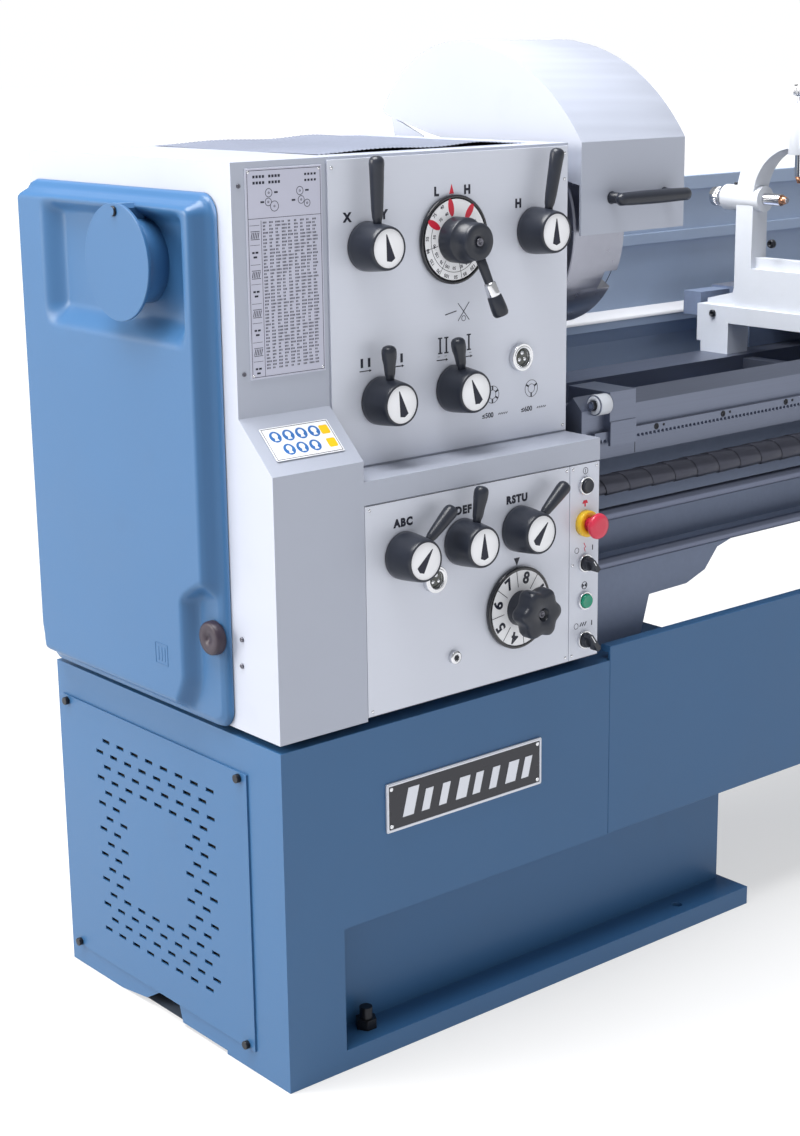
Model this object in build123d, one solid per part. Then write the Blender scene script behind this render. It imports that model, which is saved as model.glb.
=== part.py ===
from build123d import *
import math
import os

os.makedirs("parts", exist_ok=True)

# A centre lathe on two cabinets: 500 mm swing, 1500 mm between centres. Millimetres, +Z up, X along the bed
# towards the tailstock, Y from the operator to the back. Sizes are measured from the left cabinet's
# front left bottom corner; every part is moved to the centre of the foundation holes when it is written.

# cabinets and chip tray
DEPTH = 600.0
CABINET_TOP = 520.0
WALL = 8.0
RECESS_X = 105.0
RECESS_DEPTH = 62.0
RECESS_TOP = 226.0
SHOULDER_X = 845.0
POST_RIGHT = 989.0
FOOT_RIGHT = 1000.0
FOOT_T = 32.0
RIGHT_LEFT = 2090.0
RIGHT_END = 2690.0
TRAY_LEFT = 648.0
TRAY_RIGHT = 2290.0
TRAY_RIM = 543.0
TRAY_FLOOR_FRONT = 505.0
TRAY_FLOOR_BACK = 262.0
HOLE_LEFT = 852.0
HOLE_RIGHT = 2238.0
HOLE_FRONT = 30.0
HOLE_BACK = DEPTH - HOLE_FRONT
HOLE_R = 9.0
SCREW_LEFT = 174.0
SCREW_RIGHT = 2560.0
SCREW_Y = 40.0

# the part's origin: the middle of the four foundation holes, on the floor
X_ORIGIN = (HOLE_LEFT + HOLE_RIGHT) / 2
Y_ORIGIN = (HOLE_FRONT + HOLE_BACK) / 2

# bed
RAIL_FRONT = 60.0
CREST_Y = 80.0
CREST_Z = 931.0
WAY_Z = 911.0
RAIL_BOTTOM = 830.0
REAR_WAY_Y0 = 400.0
REAR_WAY_Y1 = 470.0
REAR_WAY_Z = 885.0
BED_LEFT = 180.0
WAYS_LEFT = 640.0
BED_RIGHT = 2640.0
BED_SEAT_Z = 880.0
RACK_TOP = 875.0

# headstock, gear casing and feed box
SPINDLE_Y = 265.0
SPINDLE_Z = 1182.0
HEAD_LEFT = 158.0
HEAD_RIGHT = 622.0
HEAD_FRONT = 77.0
HEAD_BACK = 560.0
HEAD_BOTTOM = 882.0
HEAD_TOP = 1321.0
PLATE = 3.0
CASING_RIGHT = 156.0
CASING_BACK = 597.0
CASING_BOTTOM = 532.0
CASING_T = 8.0
SLOPE_BOTTOM = 911.0
SLOPE_TOP = 980.0
FEED_LEFT = 156.0
FEED_RIGHT = 620.0
FEED_BOTTOM = 536.0
FEED_HEADER = 848.0
FEED_BACK = 128.0
STRIP_X = 556.0
BUTTON_X = 589.0

# selector levers: x, z, lean from upright in degrees, length from the knob's axis
HEAD_LEVERS = {
    "direction_lever": (227.0, 1196.0, 0.0, 125.0),
    "range_lever": (548.0, 1196.0, 12.0, 123.0),
    "step_lever": (247.0, 976.0, -2.0, 82.0),
    "ratio_lever": (387.0, 977.0, -10.0, 80.0),
}
FEED_LEVERS = {
    "feed_lever_abc": (225.0, 766.0, 50.0, 97.0),
    "feed_lever_def": (336.0, 767.0, 12.0, 86.0),
    "feed_lever_rstu": (449.0, 768.0, 51.0, 97.0),
}
KNOB_BACK_R = 35.0
KNOB_FRONT_R = 30.0
KNOB_DEPTH = 50.0
KNOB_GAP = 0.5
PIN_R = 8.0
FIT = 0.05
SPEED_DIAL = (387.0, 1194.0, 64.0)
FEED_DIAL = (446.0, 647.0, 63.0)
JOG_Z = 812.0
STOP_Z = 753.0
MODE_Z = 690.0
START_Z = 630.0
PUMP_Z = 567.0
BUTTON_R = 11.0
BEZEL_R = 14.5

# gear door on the left face
DOOR_FRONT = 106.0
DOOR_BACK = 596.0
DOOR_BOTTOM = 528.0
DOOR_TOP = 1280.0
DOOR_OUT = -35.0
DOOR_IN = -1.0
DOOR_PIN_X = -9.0
DOOR_PIN_Y = 607.0
KNOB_Y = 128.0
KNOB_Z = 664.0
KNOB_R = 25.0
KNOB_OUT = -27.0
NOTCH_FLOOR = -13.0
NOTCH_BACK = 172.0
NOTCH_TOP = 715.0
CAP_R = 81.0
CAP_X = -62.0
CAP_PIVOT_Z = SPINDLE_Z + 70.0

# spindle and chuck
BORE_R = 26.5
SPINDLE_R = 45.0
SPINDLE_LEFT = 20.0
NOSE_X = 640.0
CHUCK_R = 162.5
CHUCK_BACK = 663.0
CHUCK_FRONT = 775.0
JAW_INNER = 30.0
JAW_LENGTH = 85.0
JAW_WIDTH = 32.0
JAW_TRAVEL = 30.0
BEARINGS = ((172.0, 212.0), (566.0, 612.0))
BEARING_R = 80.0

# drive: gear pair in the headstock, belts down to the motor, change gears at the front of the casing
INPUT_Y = 430.0
INPUT_Z = 1082.0
BULL_TEETH = 50
PINION_TEETH = 40
DRIVE_GEAR_X = 420.0
DRIVE_GEAR_W = 40.0
PULLEY_R = 100.0
MOTOR_PULLEY_R = 55.0
MOTOR_Y = 400.0
MOTOR_Z = 240.0
BELT_XS = (52.0, 68.0, 84.0)
CHANGE_MODULE = 3.0
CHANGE_TEETH = (32, 60, 40)
CHANGE_TOP = (230.0, 1010.0)
CHANGE_BOTTOM = (100.0, 755.0)
CHANGE_X = 40.0
CHANGE_W = 20.0
MESH_SLACK = 0.6

# rods along the front of the bed
ROD_Y = 30.0
LEAD_Z = 797.0
FEED_ROD_Z = 749.0
CONTROL_Z = 670.0
LEAD_R = 14.0
FEED_ROD_R = 10.5
CONTROL_R = 9.0
ROD_START = 610.0
ROD_END = 2600.0
COVER_END = 1460.0

# carriage, steady rest and tailstock
SADDLE_X0 = 1470.0
SADDLE_X1 = 1830.0
BRIDGE_X0 = 1530.0
BRIDGE_X1 = 1770.0
SADDLE_TOP = 1000.0
APRON_X0 = 1500.0
APRON_X1 = 1800.0
APRON_FRONT = -75.0
APRON_CASE_BACK = 14.0
APRON_BACK = 46.0
APRON_TOP = 936.0
APRON_BOTTOM = 640.0
CROSS_TOP = 1045.0
TOP_SLIDE_TOP = 1100.0
CROSS_SCREW_Z = 964.0
WHEEL_X = 1585.0
WHEEL_Z = 765.0
POST_X = 1650.0
POST_Y = 130.0
STEADY_X0 = 1372.0
STEADY_X1 = 1430.0
FINGER_R = 11.0
TAIL_X0 = 2240.0
TAIL_X1 = 2520.0
QUILL_R = 37.0
QUILL_LEFT = 2120.0

# chuck guard
GUARD_X0 = 650.0
GUARD_X1 = 880.0
GUARD_FRONT = 76.0
GUARD_LIP = 1180.0
GUARD_PIVOT_Y = 480.0
GUARD_PIVOT_Z = 1285.0
GUARD_T = 4.0


def block(x0, x1, y0, y1, z0, z1):
    """Box between two corners."""
    return Pos((x0 + x1) / 2, (y0 + y1) / 2, (z0 + z1) / 2) * Box(x1 - x0, y1 - y0, z1 - z0)


def rod_x(x0, x1, y, z, r):
    """Round bar along X."""
    return Pos((x0 + x1) / 2, y, z) * Rot(0, 90, 0) * Cylinder(r, x1 - x0)


def rod_y(y0, y1, x, z, r):
    """Round bar along Y."""
    return Pos(x, (y0 + y1) / 2, z) * Rot(90, 0, 0) * Cylinder(r, y1 - y0)


def rod_z(z0, z1, x, y, r):
    """Round bar along Z."""
    return Pos(x, y, (z0 + z1) / 2) * Cylinder(r, z1 - z0)


def prism_x(points, x0, x1):
    """Outline of (y, z) points drawn along X."""
    face = make_face(Polyline(*[(x0, y, z) for y, z in points], close=True))
    return extrude(face, amount=x1 - x0, dir=(1, 0, 0))


def prism_y(points, y0, y1):
    """Outline of (x, z) points drawn along Y."""
    face = make_face(Polyline(*[(x, y0, z) for x, z in points], close=True))
    return extrude(face, amount=y1 - y0, dir=(0, 1, 0))


def cone_y(x, z, y_back, y_front, r_back, r_front):
    """Round knob body that narrows from its back face to its front face."""
    height = y_back - y_front
    return Pos(x, y_back - height / 2, z) * Rot(90, 0, 0) * Cone(r_back, r_front, height)


def fuse(shapes):
    """One solid from overlapping pieces."""
    result = shapes[0]
    for shape in shapes[1:]:
        result = result + shape
    return result


def save(node, *shapes):
    """Write one node, moved to the part's origin."""
    solids = []
    for shape in shapes:
        solids.extend((Pos(-X_ORIGIN, -Y_ORIGIN, 0) * shape).solids())
    export_step(Compound(children=solids) if len(solids) > 1 else solids[0], f"parts/{node}.step")


# ---------------------------------------------------------------- base

def cabinet_body(x_end, x_foot):
    """Hollow cabinet of sheet steel, open below, with a set-back post on a broad foot."""
    outer = fuse([
        block(0, RECESS_X, 0, DEPTH, 0, CABINET_TOP),
        block(0, TRAY_LEFT, 0, DEPTH, RECESS_TOP, CABINET_TOP),
        block(0, x_end, WALL, DEPTH, RECESS_TOP, CABINET_TOP),
        block(0, POST_RIGHT, RECESS_DEPTH, DEPTH - RECESS_DEPTH, 0, RECESS_TOP),
        block(0, x_foot, 0, DEPTH, 0, FOOT_T),
    ])
    inner_y = RECESS_DEPTH + WALL
    inner = fuse([
        block(WALL, RECESS_X, WALL, DEPTH - WALL, -1, CABINET_TOP - WALL),
        block(WALL, x_end - WALL, 2 * WALL, DEPTH - WALL, RECESS_TOP + WALL, CABINET_TOP - WALL),
        block(WALL, x_end - WALL, inner_y, DEPTH - inner_y, RECESS_TOP - 2 * WALL, RECESS_TOP + 2 * WALL),
        block(WALL, POST_RIGHT - WALL, inner_y, DEPTH - inner_y, -1, RECESS_TOP - WALL),
    ])
    return outer - inner


def foundation_hole(x, y):
    return rod_z(-1, FOOT_T + 1, x, y, HOLE_R)


def left_cabinet():
    body = cabinet_body(SHOULDER_X, FOOT_RIGHT)
    body -= block(-1, WALL + 1, 110, 550, 60, 440)
    fork_pocket = [(458, -1), (377, 10), (341, 32), (285, 34), (276, 6), (158, 6), (158, -1)]
    body -= prism_x(fork_pocket, -1, WALL + 1)
    body -= block(30, 130, 280, 560, CABINET_TOP - WALL - 1, CABINET_TOP + 1)
    for y in (HOLE_FRONT, HOLE_BACK):
        body -= foundation_hole(HOLE_LEFT, y)
    for y in (SCREW_Y, DEPTH - SCREW_Y):
        body -= rod_z(-1, FOOT_T + 1, SCREW_LEFT, y, 10.5)
    return body


def right_cabinet():
    """The same cabinet turned end for end, without the vent and belt openings."""
    body = cabinet_body(RIGHT_END - RIGHT_LEFT, FOOT_RIGHT)
    trimmed = body & block(-1, RIGHT_END - RIGHT_LEFT + 1, -1, DEPTH + 1, -1, CABINET_TOP + 1)
    end_wall = block(0, WALL, 0, DEPTH, FOOT_T, CABINET_TOP) & cabinet_outline_end()
    trimmed = trimmed + Pos(RIGHT_END - RIGHT_LEFT - WALL, 0, 0) * end_wall
    moved = Pos(RIGHT_END, DEPTH, 0) * Rot(0, 0, 180) * trimmed
    front_step = block(RIGHT_LEFT - 1, TRAY_RIGHT, -1, WALL, RECESS_TOP, CABINET_TOP + 1)
    moved -= front_step
    for y in (HOLE_FRONT, HOLE_BACK):
        moved -= foundation_hole(HOLE_RIGHT, y)
    for y in (SCREW_Y, DEPTH - SCREW_Y):
        moved -= rod_z(-1, FOOT_T + 1, SCREW_RIGHT, y, 10.5)
    return moved


def cabinet_outline_end():
    """Where the right cabinet's inner end wall may stand."""
    return fuse([
        block(-1, WALL + 1, RECESS_DEPTH, DEPTH - RECESS_DEPTH, 0, RECESS_TOP + 1),
        block(-1, WALL + 1, 2 * WALL, DEPTH, RECESS_TOP, CABINET_TOP),
    ])


def tray_floor_z(y):
    slope = (TRAY_FLOOR_BACK - TRAY_FLOOR_FRONT) / (DEPTH - 16)
    return TRAY_FLOOR_FRONT + slope * (y - 6)


def chip_tray():
    """Front skirt with a rolled rim, and a floor that falls to a gutter at the back."""
    skirt = block(TRAY_LEFT + 1, TRAY_RIGHT, 0, 6, RECESS_TOP, TRAY_RIM)
    rim = fillet((block(TRAY_LEFT + 1, TRAY_RIGHT, 0, 22, TRAY_RIM - 12, TRAY_RIM)).edges().filter_by(Axis.X), 4)
    x0 = SHOULDER_X + 2
    x1 = RIGHT_LEFT - 2
    back = DEPTH - 10
    floor = prism_x([(5, tray_floor_z(6)), (5, tray_floor_z(6) - 6), (back, TRAY_FLOOR_BACK - 6),
                     (back + 6, TRAY_FLOOR_BACK - 6), (back + 6, TRAY_FLOOR_BACK + 24),
                     (back, TRAY_FLOOR_BACK + 24), (back, TRAY_FLOOR_BACK)], x0, x1)
    ends = []
    for x in (x0, x1 - 5):
        ends.append(prism_x([(5, tray_floor_z(6) - 2), (back, TRAY_FLOOR_BACK - 2),
                             (back, TRAY_FLOOR_BACK + 24), (30, CABINET_TOP), (5, CABINET_TOP)], x, x + 5))
    return fuse([skirt, rim, floor] + ends)


def vent_panel():
    """Cover of the motor space, with staggered slots round a plain middle."""
    panel = block(-PLATE, 0, 81, 583, 35, 468)
    rows = 16
    columns = 8
    top = 418.0
    row_pitch = 21.6
    column_pitch = 40.5
    slots = []
    for row in range(rows):
        shift = column_pitch / 2 if row % 2 else 0
        for column in range(columns):
            full_row = row < 4 or row >= rows - 4
            if full_row or column < 2 or column >= columns - 2:
                y = 174 + column * column_pitch + shift
                slots.append(Pos(-PLATE / 2, y, top - row * row_pitch) * Box(PLATE + 2, 20, 6))
    return panel - slots


def cabinet_screws():
    """Four panel screws and four levelling screws with lock nuts."""
    screws = []
    for y in (99, 568):
        for z in (41, 459):
            screws.append(rod_x(-PLATE - 7, -PLATE, y, z, 6.5))
    for x in (SCREW_LEFT, SCREW_RIGHT):
        for y in (SCREW_Y, DEPTH - SCREW_Y):
            shank = rod_z(2, FOOT_T + 34, x, y, 9.9)
            nut = Pos(x, y, FOOT_T) * extrude(RegularPolygon(17, 6), amount=16)
            screws.append(shank + nut)
    return screws


def panel_plates():
    """Thin plates on the fronts: headstock, feed box, switch strip, chart, slope label and nameplate."""
    head = block(HEAD_LEFT + 3, HEAD_RIGHT - 3, HEAD_FRONT - PLATE, HEAD_FRONT, HEAD_BOTTOM + 3, HEAD_TOP - 4)
    feed = block(FEED_LEFT + 1, STRIP_X - 0.6, 0, PLATE, FEED_BOTTOM + 1, FEED_HEADER - 1)
    strip = block(STRIP_X + 0.6, FEED_RIGHT - 1, 0, PLATE, FEED_BOTTOM + 1, FEED_HEADER - 1)
    for x, z, _, _ in HEAD_LEVERS.values():
        head -= rod_y(HEAD_FRONT - PLATE - 1, HEAD_FRONT + 1, x, z, PIN_R + FIT)
    head -= rod_y(HEAD_FRONT - PLATE - 1, HEAD_FRONT + 1, SPEED_DIAL[0], SPEED_DIAL[1], PIN_R + FIT)
    for x, z, _, _ in FEED_LEVERS.values():
        feed -= rod_y(-1, PLATE + 1, x, z, PIN_R + FIT)
    feed -= rod_y(-1, PLATE + 1, FEED_DIAL[0], FEED_DIAL[1], PIN_R + FIT)
    for z in (JOG_Z, STOP_Z, MODE_Z, START_Z, PUMP_Z):
        strip -= rod_y(-1, PLATE + 1, BUTTON_X, z, BUTTON_R + 0.5)
    chart = block(22, 150, 72.5, 74, 1031, HEAD_TOP - 9)
    angle = math.degrees(math.atan2(SLOPE_TOP - SLOPE_BOTTOM, 74))
    slope_mid = (SLOPE_TOP + SLOPE_BOTTOM) / 2
    label = Pos(78, 37, slope_mid) * Rot(angle, 0, 0) * Pos(0, 0, 0.75) * Box(112, 52, 1.5)
    nameplate = block(186, 495, -3, 0, 354, 428)
    return [head, feed, strip, chart, label, nameplate]


# ---------------------------------------------------------------- bed

def bed():
    """Cast bed: front V rail, inner rail, rear flat rail, walls, cross webs and feet, with the rack below the V."""
    front_rail = prism_x([(RAIL_FRONT, RAIL_BOTTOM), (RAIL_FRONT, WAY_Z), (CREST_Y, CREST_Z), (100, WAY_Z),
                          (130, WAY_Z - 8), (130, RAIL_BOTTOM)], WAYS_LEFT, BED_RIGHT)
    inner_rail = prism_x([(128, RAIL_BOTTOM + 15), (128, 890), (150, 890), (165, 903), (180, 890), (200, 890),
                          (200, RAIL_BOTTOM + 15)], WAYS_LEFT, BED_RIGHT)
    rear_rail = block(WAYS_LEFT, BED_RIGHT, REAR_WAY_Y0 - 20, REAR_WAY_Y1, RAIL_BOTTOM, REAR_WAY_Z)
    front_wall = block(WAYS_LEFT, BED_RIGHT, 85, 112, 600, RAIL_BOTTOM + 5)
    rear_wall = block(WAYS_LEFT, BED_RIGHT, 420, 445, 600, RAIL_BOTTOM + 5)
    skirt_profile = [(WAYS_LEFT, 520), (780, 520), (800, 588), (890, 590), (935, 606), (965, 640),
                     (1010, 652), (2080, 652), (2130, 620), (2150, 520), (BED_RIGHT, 520),
                     (BED_RIGHT, 668), (WAYS_LEFT, 668)]
    keep = prism_y([(WAYS_LEFT - 1, 519), (780, 519), (800, 588), (890, 590), (935, 606), (965, 640), (1010, 652),
                    (2080, 652), (2130, 620), (2150, 519), (BED_RIGHT + 1, 519), (BED_RIGHT + 1, 960),
                    (WAYS_LEFT - 1, 960)], 0, DEPTH)
    front_flange = prism_y(skirt_profile, RAIL_FRONT, 112)
    rear_flange = prism_y(skirt_profile, 420, REAR_WAY_Y1)
    body = fuse([front_rail, inner_rail, rear_rail, front_wall, rear_wall])
    body = (body & keep) + front_flange + rear_flange
    for x in (WAYS_LEFT, 1392, 1760, 2150, BED_RIGHT - 30):
        body += block(x, x + 30, 100, 430, 700, 878)
    for x in (WAYS_LEFT, 2160, BED_RIGHT - 40):
        body += block(x, x + 40, 100, 430, CABINET_TOP, 720)
    seat = block(BED_LEFT, WAYS_LEFT + 1, 130, REAR_WAY_Y1, CABINET_TOP, BED_SEAT_Z)
    seat -= block(BED_LEFT + 30, WAYS_LEFT - 30, 160, 440, CABINET_TOP - 1, BED_SEAT_Z + 1)
    body += seat
    rack = rack_bar()
    bracket = rod_bracket()
    return [body, rack, bracket]


def rack_bar():
    """Toothed bar under the front rail; its teeth point down."""
    pitch = 9.42
    bar = block(WAYS_LEFT + 20, BED_RIGHT - 40, RAIL_FRONT - 9, RAIL_FRONT, 863, RACK_TOP)
    count = int((BED_RIGHT - WAYS_LEFT - 80) / pitch)
    points = [(WAYS_LEFT + 20, 864)]
    for k in range(count):
        x = WAYS_LEFT + 26 + k * pitch
        points += [(x, 863), (x + 1.6, 857.5), (x + 3.2, 857.5), (x + 4.8, 863)]
    points.append((WAYS_LEFT + 26 + count * pitch, 864))
    teeth = prism_y(points, RAIL_FRONT - 9, RAIL_FRONT)
    return bar + teeth


def rod_bracket():
    """Bearing block of the three rods at the tailstock end."""
    body = block(ROD_END - 40, ROD_END, ROD_Y - 28, 85, CONTROL_Z - 24, LEAD_Z + 30)
    for z, r in ((LEAD_Z, LEAD_R), (FEED_ROD_Z, FEED_ROD_R), (CONTROL_Z, CONTROL_R)):
        body -= rod_x(ROD_END - 41, ROD_END - 8, ROD_Y, z, r + FIT)
    return body


def bed_stop():
    """Carriage stop clamped on the front way, with a roller on its left face and its clamp plate below."""
    stop = block(690, 748, 48, 140, 868, 937)
    way = prism_x([(RAIL_FRONT, 800), (RAIL_FRONT, WAY_Z), (CREST_Y, CREST_Z), (100, WAY_Z), (130, WAY_Z - 8),
                   (141, WAY_Z - 8), (141, 800)], 689, 749)
    rack_gap = block(689, 749, RAIL_FRONT - 10, RAIL_FRONT, 855, RACK_TOP)
    stop = stop - way - rack_gap
    clamp = block(690, 748, 46, 51, 852, 890)
    roller = rod_x(662, 690, 56, 919, 16)
    screw = rod_x(655, 662, 56, 919, 7)
    return [stop + clamp, roller + screw]


# ---------------------------------------------------------------- headstock and casing

def headstock_housing():
    """Cast gear case, with the lid, its mat and the bearing rings of the spindle."""
    wall = 14
    body = block(HEAD_LEFT, HEAD_RIGHT, HEAD_FRONT, HEAD_BACK, HEAD_BOTTOM, HEAD_TOP - 12)
    body -= block(HEAD_LEFT + wall, HEAD_RIGHT - wall, HEAD_FRONT + wall, HEAD_BACK - wall,
                  HEAD_BOTTOM + wall, HEAD_TOP)
    rings = []
    for x0, x1 in BEARINGS:
        outer = BEARING_R + 18
        body += rod_x(x0, x1, SPINDLE_Y, SPINDLE_Z, outer) - rod_x(x0 - 1, x1 + 1, SPINDLE_Y, SPINDLE_Z, BEARING_R)
        ring = rod_x(x0 + 2, x1 - 2, SPINDLE_Y, SPINDLE_Z, BEARING_R - 0.01)
        rings.append(ring - rod_x(x0, x1, SPINDLE_Y, SPINDLE_Z, SPINDLE_R + FIT))
    body -= rod_x(HEAD_LEFT - 1, HEAD_RIGHT + 1, SPINDLE_Y, SPINDLE_Z, SPINDLE_R + 6)
    body -= rod_x(HEAD_LEFT - 1, 300, INPUT_Y, INPUT_Z, 15 + FIT)
    body += rod_x(HEAD_LEFT + wall, 205, INPUT_Y, INPUT_Z, 30) - rod_x(150, 206, INPUT_Y, INPUT_Z, 15 + FIT)
    body -= rod_x(HEAD_LEFT - 1, HEAD_LEFT + wall + 1, CHANGE_TOP[0], CHANGE_TOP[1], 12 + FIT)
    for x, z, _, _ in list(HEAD_LEVERS.values()) + [(SPEED_DIAL[0], SPEED_DIAL[1], 0, 0)]:
        body -= rod_y(HEAD_FRONT - 1, HEAD_FRONT + wall + 1, x, z, PIN_R + FIT)
    body -= rod_x(HEAD_RIGHT - wall - 1, HEAD_RIGHT + 1, GUARD_PIVOT_Y, GUARD_PIVOT_Z, 9 + FIT)
    lid = block(HEAD_LEFT, HEAD_RIGHT, HEAD_FRONT, HEAD_BACK, HEAD_TOP - 12, HEAD_TOP)
    lid -= block(HEAD_LEFT + 22, HEAD_RIGHT - 40, HEAD_FRONT + 45, HEAD_BACK - 30, HEAD_TOP - 5, HEAD_TOP + 1)
    mat = block(HEAD_LEFT + 23, HEAD_RIGHT - 41, HEAD_FRONT + 46, HEAD_BACK - 31, HEAD_TOP - 5, HEAD_TOP - 1)
    return [body, lid, mat] + rings


CASING_OUTLINE = [(0, CASING_BOTTOM), (0, SLOPE_BOTTOM), (74, SLOPE_TOP), (74, HEAD_TOP),
                  (CASING_BACK, HEAD_TOP), (CASING_BACK, CASING_BOTTOM)]


def gear_casing():
    """Folded casing between door and headstock, with the door's hinge pins, gear studs and quadrant."""
    t = CASING_T
    outer = prism_x(CASING_OUTLINE, 0, CASING_RIGHT)
    inner_outline = [(t, CASING_BOTTOM - 1), (t, SLOPE_BOTTOM - 3), (74 + t, SLOPE_TOP - 3), (74 + t, HEAD_TOP - t),
                     (CASING_BACK - t, HEAD_TOP - t), (CASING_BACK - t, CASING_BOTTOM - 1)]
    shell = outer - prism_x(inner_outline, t, CASING_RIGHT + 1)
    shell -= block(-1, t + 1, DOOR_FRONT + 8, DOOR_BACK - 14, 546, DOOR_TOP - 10)
    hinge = []
    for z in (620, 1180):
        eye = rod_z(z + 0.5, z + 22, DOOR_PIN_X, DOOR_PIN_Y, 7)
        arm = block(DOOR_PIN_X, 12, CASING_BACK, DOOR_PIN_Y, z + 0.5, z + 22)
        pin = rod_z(z - 20, z + 10, DOOR_PIN_X, DOOR_PIN_Y, 3.5)
        hinge.append(fuse([eye, arm, pin]))
    hub_y, hub_z = change_idler_place()
    stud = rod_x(CHANGE_X - 8, 140, hub_y, hub_z, 12)
    slot_plate = prism_x([(CHANGE_BOTTOM[0] - 34, CHANGE_BOTTOM[1] + 44), (CHANGE_BOTTOM[0] + 40, CHANGE_BOTTOM[1] + 34),
                          (hub_y + 34, hub_z + 46), (hub_y - 34, hub_z + 56)], 128, 146)
    quadrant = slot_plate + stud
    tail_arm = block(128, 146, t, 110, CHANGE_BOTTOM[1] + 44, CHANGE_BOTTOM[1] + 80)
    return [shell + hinge[0] + hinge[1], quadrant + tail_arm]


def feed_box():
    """Feed gearbox case on the front of the bed, with its header strip and the bores of its shafts."""
    wall = 12
    body = block(FEED_LEFT, FEED_RIGHT, PLATE, FEED_BACK, FEED_BOTTOM, HEAD_BOTTOM)
    header = block(FEED_LEFT, FEED_RIGHT, 0, PLATE + 1, FEED_HEADER, HEAD_BOTTOM)
    body = body + header
    body -= block(FEED_LEFT + wall, FEED_RIGHT - wall, PLATE + wall, FEED_BACK - wall, FEED_BOTTOM + wall,
                  HEAD_BOTTOM - wall)
    for x, z, _, _ in list(FEED_LEVERS.values()) + [(FEED_DIAL[0], FEED_DIAL[1], 0, 0)]:
        body -= rod_y(PLATE - 1, PLATE + wall + 1, x, z, PIN_R + FIT)
    for z in (JOG_Z, STOP_Z, MODE_Z, START_Z, PUMP_Z):
        body -= rod_y(PLATE - 1, PLATE + wall + 1, BUTTON_X, z, BUTTON_R + 0.5)
    for z, r in ((LEAD_Z, LEAD_R), (FEED_ROD_Z, FEED_ROD_R), (CONTROL_Z, CONTROL_R)):
        body -= rod_x(FEED_RIGHT - wall - 1, FEED_RIGHT + 1, ROD_Y, z, r + FIT)
    body -= rod_x(FEED_LEFT - 1, FEED_LEFT + wall + 1, *CHANGE_BOTTOM, 12 + FIT)
    return body


def bezels():
    """Sight glasses, drain plug, switch rings and the collar of the stop button."""
    rings = []
    for x, z, y, r in ((520, 1009, HEAD_FRONT - PLATE, 21), (281, 721, 0, 20)):
        ring = rod_y(y - 9, y, x, z, r) - rod_y(y - 10, y - 4, x, z, r - 7)
        rings.append(ring)
    rings.append(rod_y(-7, 0, 319, 595, 10))
    for z in (JOG_Z, MODE_Z, START_Z, PUMP_Z):
        rings.append(rod_y(-5, 0, BUTTON_X, z, BEZEL_R) - rod_y(-6, 1, BUTTON_X, z, BUTTON_R + 0.5))
    rings.append(rod_y(-10, 0, BUTTON_X, STOP_Z, 20) - rod_y(-11, 1, BUTTON_X, STOP_Z, BUTTON_R + 0.5))
    return rings


def gear_door():
    """Pressed door with rounded edges, the tube over the spindle end and a notch for the lock knob."""
    body = block(DOOR_OUT, DOOR_IN, DOOR_FRONT, DOOR_BACK, DOOR_BOTTOM, DOOR_TOP)
    body = fillet(body.edges().filter_by(Axis.X), 30)
    body = fillet(body.faces().sort_by(Axis.X)[0].edges(), 16)
    hollow = block(DOOR_OUT + 4, DOOR_IN + 1, DOOR_FRONT + 6, DOOR_BACK - 6, DOOR_BOTTOM + 6, DOOR_TOP - 6)
    hollow = fillet(hollow.edges().filter_by(Axis.X), 26)
    hollow -= rod_x(DOOR_OUT, DOOR_IN + 2, SPINDLE_Y, SPINDLE_Z, 70)
    hollow -= block(DOOR_OUT, DOOR_IN + 2, DOOR_FRONT, NOTCH_BACK + 4, DOOR_BOTTOM, NOTCH_TOP + 4)
    body -= hollow
    body += rod_x(CAP_X + 5.5, DOOR_IN, SPINDLE_Y, SPINDLE_Z, 60)
    body += block(CAP_X + 5.5, DOOR_OUT + 5, SPINDLE_Y - 14, SPINDLE_Y + 14, SPINDLE_Z + 50, CAP_PIVOT_Z + 10)
    body -= rod_x(CAP_X - 1, DOOR_IN + 1, SPINDLE_Y, SPINDLE_Z, 52)
    body -= rod_x(CAP_X - 1, DOOR_IN - 12, SPINDLE_Y, CAP_PIVOT_Z, 4 + FIT)
    body -= block(DOOR_OUT - 1, NOTCH_FLOOR, DOOR_FRONT - 1, NOTCH_BACK, DOOR_BOTTOM - 1, NOTCH_TOP)
    body -= rod_x(DOOR_OUT - 1, DOOR_IN + 1, KNOB_Y, KNOB_Z, 6 + FIT)
    for z in (598, 1158):
        arm = block(DOOR_PIN_X - 5, DOOR_PIN_X + 5, DOOR_BACK - 10, DOOR_PIN_Y, z, z + 22)
        eye = rod_z(z, z + 22, DOOR_PIN_X, DOOR_PIN_Y, 7)
        body += arm + eye
        body -= rod_z(z + 1, z + 23, DOOR_PIN_X, DOOR_PIN_Y, 3.5 + FIT)
    return body


def door_knob():
    """Round lock knob with its latch shaft and cam."""
    knob = rod_x(KNOB_OUT, NOTCH_FLOOR - KNOB_GAP, KNOB_Y, KNOB_Z, KNOB_R)
    knob = fillet(knob.faces().sort_by(Axis.X)[0].edges(), 4)
    shaft = rod_x(NOTCH_FLOOR - 2, 12, KNOB_Y, KNOB_Z, 6)
    cam = block(12, 17, KNOB_Y - 7, KNOB_Y + 7, KNOB_Z - 48, KNOB_Z + 7)
    return fuse([knob, shaft, cam])


def spindle_cap():
    """Round cover that swings off the end of the spindle tube."""
    disc = fillet(rod_x(CAP_X, CAP_X + 5, SPINDLE_Y, SPINDLE_Z, CAP_R).edges(), 1)
    screw = rod_x(CAP_X - 4, CAP_X + 1, SPINDLE_Y, CAP_PIVOT_Z, 6) + rod_x(CAP_X, -20, SPINDLE_Y, CAP_PIVOT_Z, 4)
    return disc + screw


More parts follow.
